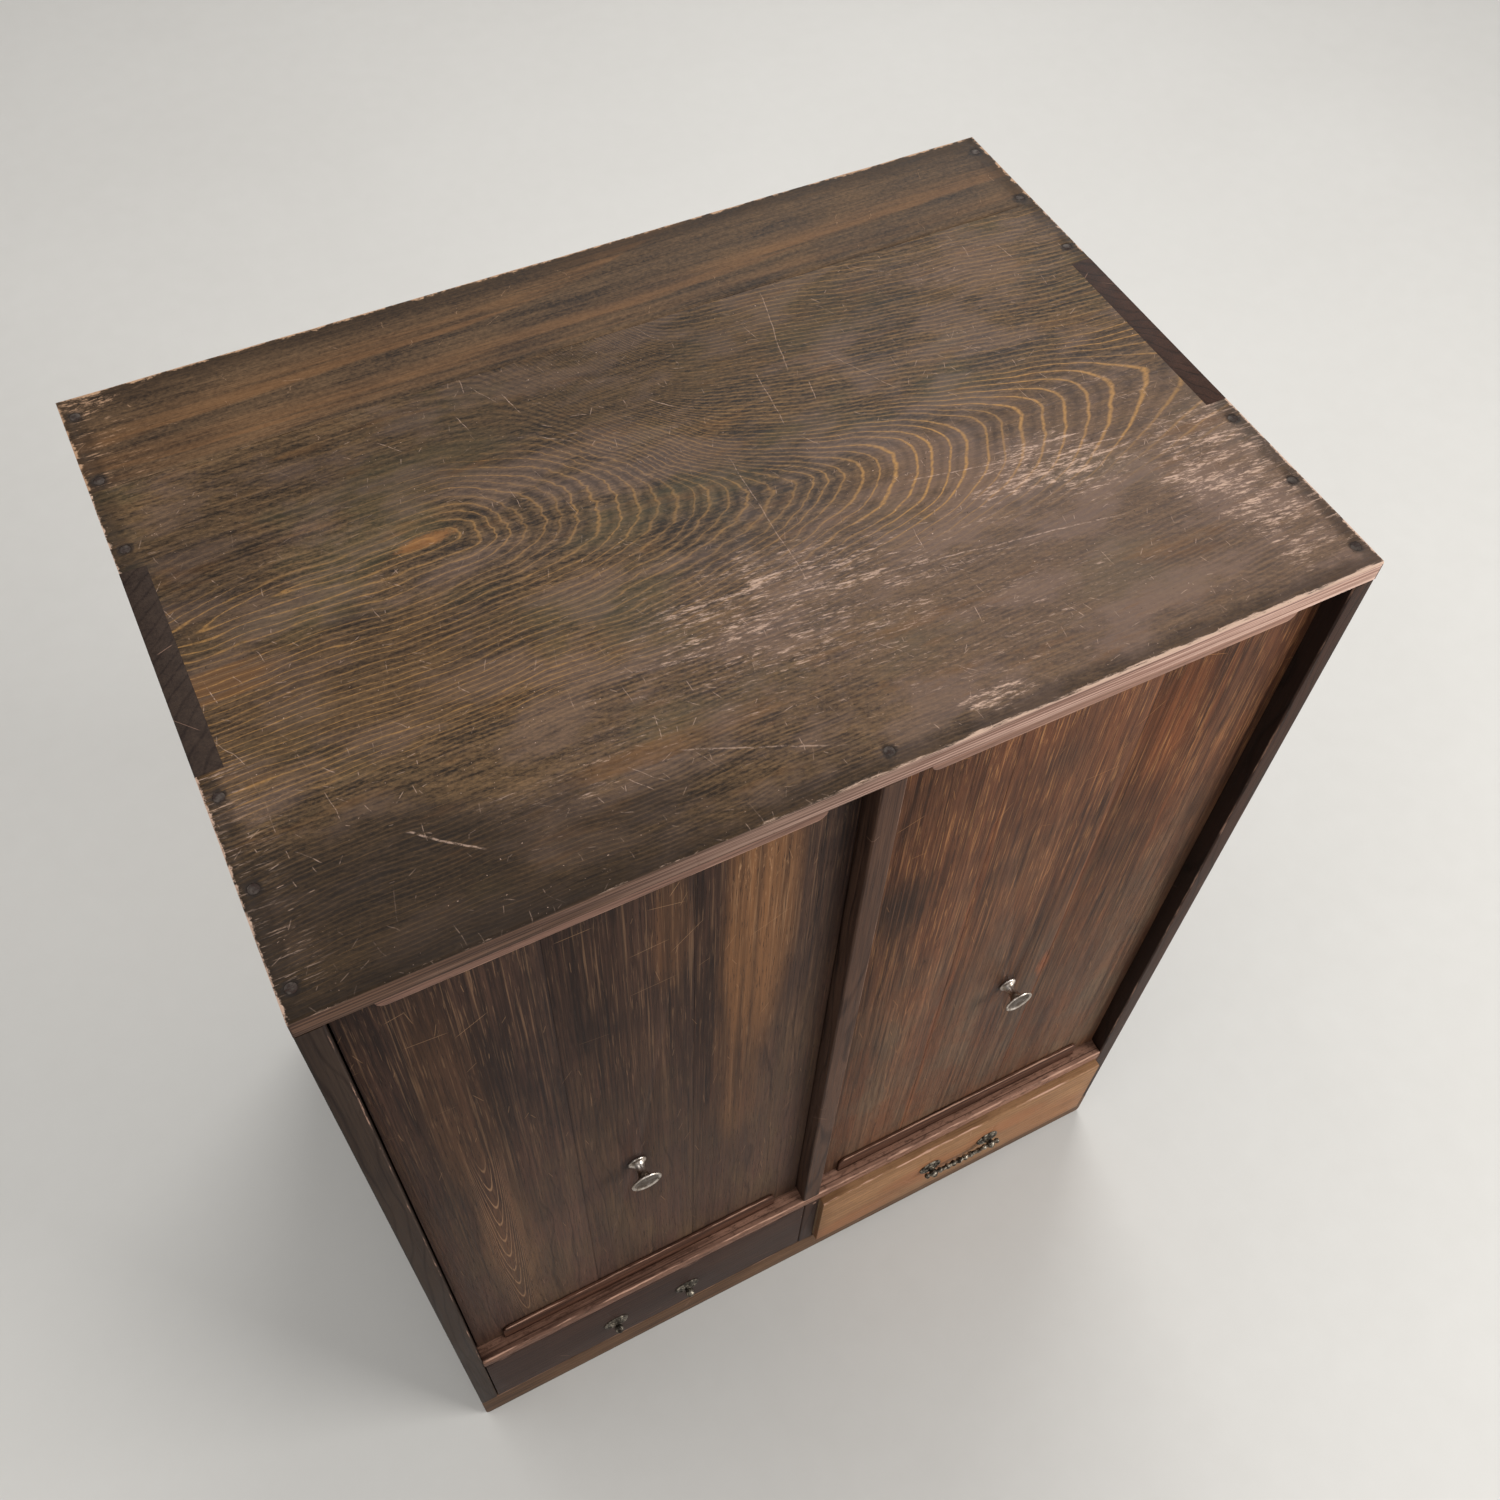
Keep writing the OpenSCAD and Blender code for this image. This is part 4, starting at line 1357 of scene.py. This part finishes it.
@dataclass
class Woods:
    """The cabinet's wood finishes."""

    rubbed: Colour = tint(186, 146, 124)
    bare_dark: Colour = tint(120, 92, 68)
    bare_light: Colour = tint(188, 156, 122)
    nail_rows: tuple[float, ...] = (15.5, 70.0, 124.5, 295.5, 350.0, 404.5)

    def plain(self, name: str, grain: Grain, dark: Colour, light: Colour, **more: object) -> BoardFinish:
        """A plain board finish with the cabinet's usual rubbed colour."""
        return BoardFinish(name, grain, dark, light, self.rubbed, **more)

    def bare(self, name: str, grain: Grain) -> BoardFinish:
        """Bare wood of the pieces that are mostly hidden."""
        return self.plain(name, grain, self.bare_dark, self.bare_light)

    def top(self) -> TopFinish:
        """Finish of the broad top board.

        Returns:
            The finish.
        """
        # Painted shade, partly the board's own tone: dark patches, strongest at the front left.
        shaded = (
            Patch(-40, 310, 330, 60, 0.3), Patch(-220, 160, 110, 60, 0.25), Patch(-255, 30, 190, 80, 0.75),
            Patch(-280, 250, 60, 70, 0.35), Patch(30, 215, 60, 30, 0.2), Patch(-120, 10, 150, 30, 0.3))
        rubbed_pale = (
            Patch(5, 110, 150, 58, 0.85), Patch(178, 133, 80, 38, 1.0), Patch(268, 84, 60, 100, 1.0),
            Patch(66, 15, 30, 15, 1.1), Patch(-80, 66, 150, 34, 0.6), Patch(105, 62, 130, 66, 0.55),
            Patch(230, 170, 70, 36, 0.5), Patch(200, 320, 80, 22, 0.5), Patch(-130, 205, 70, 24, 0.45))
        warm = (
            Patch(-190, 160, 150, 62, 0.12), Patch(150, 165, 150, 40, 0.15), Patch(-276, 190, 36, 13, 0.8),
            Patch(-90, 62, 70, 10, 0.6))
        long_scratches = (
            Stroke(112, 160, 222, 141), Stroke(20, 115, 182, 92, 0.6, 0.7), Stroke(-50, 370, -18, 345),
            Stroke(84, 275, 98, 332, 0.4, 0.6), Stroke(-222, 66, -198, 46, 0.7, 0.8),
            Stroke(16, 130, 19, 212, 0.4, 0.6), Stroke(60, 235, 64, 272, 0.4, 0.7),
            Stroke(-84, 52, -30, 28, 0.6, 0.6))
        return TopFinish(
            name="top_wood", dark=tint(33, 24, 16), mid=tint(110, 85, 58), olive=tint(82, 75, 50),
            maroon=tint(118, 96, 84), ochre=tint(112, 77, 44), line=tint(164, 122, 70),
            pink=tint(206, 174, 152), dark_patches=shaded, pale_patches=rubbed_pale, warm_patches=warm,
            strokes=long_scratches, nails_y=self.nail_rows)

    def back_board(self) -> BackBoardFinish:
        """Finish of the narrow back board of the top."""
        return BackBoardFinish(name="top_back_wood", dark=tint(38, 27, 18), mid=tint(104, 80, 56),
                               stripe=tint(128, 86, 48), pale=tint(190, 152, 120))

    def left_door(self) -> DoorFinish:
        """Finish of the left door.

        Returns:
            The finish.
        """
        streaks = (
            Patch(-64, 660, 30, 230, 0.85), Patch(-72, 480, 24, 170, 0.4), Patch(-244, 600, 24, 200, 0.14),
            Patch(-238, 330, 22, 190, 0.25), Patch(-118, 700, 14, 80, 0.35))
        return DoorFinish(
            name="left_door_wood", dark=tint(32, 21, 18), mid=tint(90, 64, 52), bright=tint(134, 92, 58),
            dash=tint(188, 146, 108), top_glow=0.04, knob_node="left_knob", streaks=streaks,
            pale_spots=(Patch(-64, 730, 26, 50, 1.0),), arch_x=-242.0, arch_share=0.4, tone=0.15,
            low_gain=0.5)

    def right_door(self) -> DoorFinish:
        """Finish of the right door.

        Returns:
            The finish.
        """
        streaks = (
            Patch(91, 450, 3, 420, 0.7), Patch(183, 480, 3, 380, 0.65), Patch(180, 392, 8, 24, 1.0),
            Patch(235, 620, 3, 200, 0.6), Patch(14, 560, 2, 300, 0.5), Patch(206, 690, 30, 80, 0.6))
        return DoorFinish(
            name="right_door_wood", dark=tint(38, 22, 14), mid=tint(112, 73, 51), bright=tint(132, 74, 40),
            dash=tint(196, 140, 88), top_glow=0.42, knob_node="right_knob", streaks=streaks,
            pale_spots=(Patch(150, 735, 150, 30, 0.6),), arch_x=60.0, arch_share=0.1, dash_share=0.42,
            fibre_gain=1.9, streak_gain=1.0, cloud_gain=0.6, tone=0.24, moss=tint(107, 84, 65),
            moss_share=0.8, late_share=0.25)


@dataclass
class Case:
    """The fixed case: top, sides, floors, posts, strips, back and nails."""

    woods: Woods
    body: str = "case"
    inner_x: float = 289.0
    sill_top: float = 150.0
    post_half: float = 7.5
    strip_y: float = 10.3

    def boards(self) -> list[Board]:
        """Every wooden piece of the case with its finish.

        Returns:
            The boards, in the order in which they are built.
        """
        woods = self.woods
        stop = woods.plain("inner_wood", Grain.ACROSS, tint(50, 35, 27), tint(98, 72, 55))
        side_dark, side_light = tint(32, 20, 14), tint(76, 50, 38)
        left_side = woods.plain("side_wood", Grain.UPRIGHT, side_dark, tint(66, 52, 42),
                                inside_x=self.inner_x,
                                arrises=(Arris(x=-self.inner_x, y=0, width=0.7, strength=0.5),))
        right_side = woods.plain("side_wood", Grain.UPRIGHT, side_dark, side_light, inside_x=self.inner_x,
                                 arrises=(Arris(x=self.inner_x, y=0, width=0.8, strength=0.45),))
        sill = woods.plain("sill_wood", Grain.ACROSS, tint(56, 35, 26), tint(152, 113, 93), right_share=0.6,
                           arrises=(Arris(y=0, z=self.sill_top, width=1.3, strength=0.85),),
                           dark_line_y=4.6, blotch_strength=1.1, dirt_strength=0.5, speckle=0.6,
                           fibre_strength=0.8)
        rail = woods.plain("rail_wood", Grain.ACROSS, tint(54, 36, 26), tint(128, 96, 70),
                           arrises=(Arris(y=0, z=37, width=0.5, strength=0.3),))
        post = woods.plain("post_wood", Grain.UPRIGHT, tint(42, 27, 21), tint(104, 76, 60),
                           arrises=(Arris(x=self.post_half, y=0, width=0.9, strength=0.6),
                                    Arris(x=-self.post_half, y=0, width=0.5, strength=0.3)))
        divider = woods.plain("post_wood", Grain.UPRIGHT, tint(42, 27, 21), tint(84, 62, 52),
                              patches=(Patch(4, 131, 3, 4, 1.0),))
        upper = woods.plain("strip_wood", Grain.ACROSS, tint(62, 40, 32), tint(160, 122, 104),
                            right_share=0.5,
                            arrises=(Arris(y=self.strip_y, z=748, width=1.4, strength=0.5),))
        lower = woods.plain("strip_wood", Grain.ACROSS, tint(46, 27, 20), tint(112, 76, 58),
                            arrises=(Arris(y=self.strip_y, z=170, width=0.9, strength=0.8),),
                            fibre_strength=0.8)
        found = [
            Board("top_front_board", self.body, "top_wood", woods.top(), ease=0.7, cut_every=6.0,
                  wear=0.22),
            Board("top_back_board", self.body, "top_back_wood", woods.back_board(), ease=0.7, cut_every=6.0,
                  wear=0.22),
            Board("left_side", self.body, "side_wood", left_side),
            Board("right_side", self.body, "side_wood", right_side),
            Board("sill_board", self.body, "sill_wood", sill, ease=0.7, cut_every=12.0, wear=0.5),
            Board("bottom_board", self.body, "inner_wood", woods.bare("inner_wood", Grain.ACROSS)),
            Board("base_rail", self.body, "rail_wood", rail, ease=0.7),
            Board("centre_post", self.body, "post_wood", post, ease=0.7),
            Board("drawer_divider", self.body, "post_wood", divider),
            Board("upper_rear_stop", self.body, "inner_wood", stop),
            Board("lower_rear_stop", self.body, "inner_wood", stop),
            Board("drawer_stops", self.body, "inner_wood", woods.bare("inner_wood", Grain.ACROSS)),
        ]
        found += [Board(f"{height}_{hand}_strip", self.body, "strip_wood", finish, ease=0.4)
                  for height, finish in (("upper", upper), ("lower", lower)) for hand in ("left", "right")]
        plank = woods.plain("plank_wood", Grain.ACROSS, tint(92, 68, 48), tint(168, 136, 102),
                            dirt_strength=0.7, seam_strength=0.75, piece_spread=0.5, ring_pitch=9.0,
                            scratch_share=0.4)
        found += [Board(f"back_plank_{k}", self.body, "plank_wood", plank, ease=0.5) for k in range(1, 5)]
        return found

    def build(self) -> None:
        """Builds all boards and the nails."""
        for board in self.boards():
            board.build()
        iron = MetalFinish(name="old_iron", dull=tint(34, 28, 25), bright=tint(74, 64, 56),
                           crust_and_reflection=tint(52, 32, 24), rough=0.6, metal=0.5)
        for node in ("top_nails", "back_nails"):
            Board(node, self.body, "old_iron", iron, ease=0.25).build()


@dataclass
class Door:
    """A lift-out door: three boards, two battens and a turned knob."""

    hand: str
    finish: DoorFinish
    woods: Woods
    knob_outline: tuple[tuple[float, float], ...] = (
        (2.2, -9), (2.2, 0), (6.5, 0), (6.7, 0.4), (6.7, 1.0), (6.2, 1.6), (5.2, 1.9), (4.9, 2.4),
        (4.1, 3.0), (3.6, 4.2), (3.3, 5.8), (3.2, 7.4), (3.4, 9.2), (4.0, 11.0), (5.5, 12.8), (7.6, 14.0),
        (9.8, 14.7), (10.8, 15.1), (11.0, 15.6), (10.8, 16.2), (10.2, 16.5), (9.5, 16.3), (8.7, 15.6),
        (7.4, 15.1), (4.5, 14.9), (1.5, 15.1), (0.05, 15.2))

    def build(self) -> None:
        """Builds the door."""
        body = f"{self.hand}_door"
        for k in (1, 2, 3):
            Board(f"{body}_board_{k}", body, f"{body}_wood", self.finish, ease=0.35).build()
        inner = self.woods.bare("batten_wood", Grain.ACROSS)
        for height in ("upper", "lower"):
            Board(f"{body}_{height}_batten", body, "inner_wood", inner, ease=0.5).build()
        self.knob(body)

    def knob(self, body: str) -> None:
        """Turns the knob from its outline.

        Args:
            body: name of the door's body.
        """
        low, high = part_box(f"{self.hand}_knob")
        face_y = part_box(f"{body}_board_2")[0].y
        centre = Vector(((low.x + high.x) / 2, face_y, (low.z + high.z) / 2))
        piece = Turned(f"{self.hand}_knob_turned", centre, self.knob_outline, 64).build()
        Bench.smooth(piece, 50)
        nickel = MetalFinish(name="knob_metal", dull=tint(140, 126, 112), bright=tint(226, 216, 206),
                             crust_and_reflection=tint(62, 50, 42), rough=0.3, metal=1.0, spot_size=2.2, crust_share=0.36,
                             dish_radius=9.4)
        piece.data.materials.append(nickel.material(f"{self.hand}_knob"))
        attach(piece, body)
        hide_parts(f"{self.hand}_knob")
        log.info("%s: %d faces", piece.name, len(piece.data.polygons))


@dataclass
class Drawer:
    """A drawer with its pull."""

    hand: str
    front: BoardFinish
    woods: Woods
    bronze: MetalFinish = field(default_factory=lambda: MetalFinish(
        name="pull_metal", dull=tint(68, 58, 48), bright=tint(204, 192, 172), crust_and_reflection=tint(24, 19, 16),
        rough=0.3, metal=0.9, spot_size=1.6, crust_share=0.54))

    def build(self) -> None:
        """Builds the drawer's boards and its pull."""
        body = f"{self.hand}_drawer"
        Board(f"{body}_front", body, f"{body}_wood", self.front, ease=0.8, cut_every=14.0,
              wear=0.5).build()
        deep = self.woods.bare("drawer_side_wood", Grain.DEEP)
        across = self.woods.bare("drawer_back_wood", Grain.ACROSS)
        for name, finish in (("left_side", deep), ("right_side", deep), ("back", across), ("bottom", deep)):
            Board(f"{body}_{name}", body, "inner_wood", finish, ease=0.4).build()
        for name in ("rosettes", "eye_posts", "post_nuts"):
            Board(f"{self.hand}_{name}", body, "pull_metal", self.bronze, ease=0.15).build()
        if self.hand == "right":
            Board("right_bail", "right_bail", "pull_metal", self.bronze, ease=0.15).build()


@dataclass
class Studio:
    """Floor, lights and camera."""

    camera_place: Vector = field(default_factory=lambda: Vector((-0.2699, -0.52555, 1.3963)))
    look: Vector = field(default_factory=lambda: Vector((0.2834, 0.4920, -0.8232)))
    right: Vector = field(default_factory=lambda: Vector((0.8889, -0.4569, 0.0330)))
    lens: float = 36.71
    sensor_width: float = 36.0
    clip: tuple[float, float] = (0.05, 60.0)
    floor_reach: float = 9.0
    air_colour: tuple[float, ...] = (0.98, 0.98, 1.0, 1.0)
    air_strength: float = 0.26

    def build(self) -> None:
        """Builds the studio."""
        self.floor()
        self.air()
        self.light("key", Vector((2.1, -1.7, 1.5)), Vector((0.1, 0.0, 0.4)), size=1.6, power=78)
        self.light("back", Vector((1.5, 2.0, 2.6)), Vector((0.1, 0.0, 0.6)), size=2.0, power=54)
        self.light("above", Vector((-1.1, 0.5, 3.0)), Vector((-0.7, 0.0, 0.0)), size=3.0, power=47)
        self.light("fill", Vector((-0.4, -3.0, 1.2)), Vector((0.0, 0.0, 0.3)), size=2.5, power=18)
        self.camera()

    def floor(self) -> None:
        """A pale floor with a few cuts across it, far wider than the view."""
        Bench.clear()
        bpy.ops.mesh.primitive_grid_add(x_subdivisions=8, y_subdivisions=8, size=2 * self.floor_reach)
        floor = bpy.context.view_layer.objects.active
        floor.name = "studio_floor"
        Bench.settle(floor)
        paint = FloorFinish(name="floor_paint", pale=tint(210, 208, 203), shade=tint(193, 190, 184))
        floor.data.materials.append(paint.material(""))

    def air(self) -> None:
        """Even light from all round."""
        world = bpy.data.worlds.new("studio_air")
        bpy.context.scene.world = world
        world.use_nodes = True
        background = world.node_tree.nodes["Background"]
        background.inputs["Color"].default_value = self.air_colour
        background.inputs["Strength"].default_value = self.air_strength
        settings = bpy.context.scene.view_settings
        settings.view_transform = "Standard"
        settings.look = "None"

    def light(self, name: str, place: Vector, aim: Vector, size: float, power: float) -> None:
        """A square soft light.

        Args:
            name: its name.
            place, aim: where it hangs and the point that it faces.
            size: length of its side in metres.
            power: its power in watts.
        """
        lamp = bpy.data.lights.new(name, "AREA")
        lamp.shape = "SQUARE"
        lamp.size = size
        lamp.energy = power
        holder = bpy.data.objects.new(name, lamp)
        bpy.context.scene.collection.objects.link(holder)
        holder.location = place
        holder.rotation_euler = (aim - place).to_track_quat("-Z", "Y").to_euler()

    def camera(self) -> None:
        """The camera at the photograph's viewing angle."""
        back = -self.look.normalized()
        side = (self.right - back * self.right.dot(back)).normalized()
        up = back.cross(side)
        turn = Matrix((side, up, back)).transposed()
        lens = bpy.data.cameras.new("camera")
        lens.lens = self.lens
        lens.sensor_width = self.sensor_width
        lens.clip_start, lens.clip_end = self.clip
        holder = bpy.data.objects.new("camera", lens)
        bpy.context.scene.collection.objects.link(holder)
        holder.matrix_world = Matrix.Translation(self.camera_place) @ turn.to_4x4()
        bpy.context.scene.camera = holder


def main() -> None:
    """Builds the cabinet and its studio."""
    woods = Woods()
    Studio().build()
    Case(woods).build()
    Door("left", woods.left_door(), woods).build()
    Door("right", woods.right_door(), woods).build()
    left_front = woods.plain("left_drawer_wood", Grain.ACROSS, tint(36, 24, 21), tint(80, 59, 49),
                             arrises=(Arris(y=0, z=DRAWER_TOP, width=0.7, strength=0.35),))
    right_front = woods.plain("right_drawer_wood", Grain.ACROSS, tint(98, 68, 43), tint(170, 128, 91),
                              arrises=(Arris(y=-6, z=DRAWER_TOP, width=1.5, strength=0.95),),
                              fibre_strength=0.35,
                              stains=(Patch(112, 80, 60, 30, 0.55), Patch(192, 96, 50, 24, 0.5),
                                      Patch(250, 60, 60, 40, 0.3), Patch(40, 50, 60, 24, 0.45)),
                              blotch_strength=0.7, dirt_strength=0.55, right_share=0.15, speckle=0.3)
    Drawer("left", left_front, woods).build()
    Drawer("right", right_front, woods).build()
    bpy.context.view_layer.update()


if __name__ == "__main__":
    main()
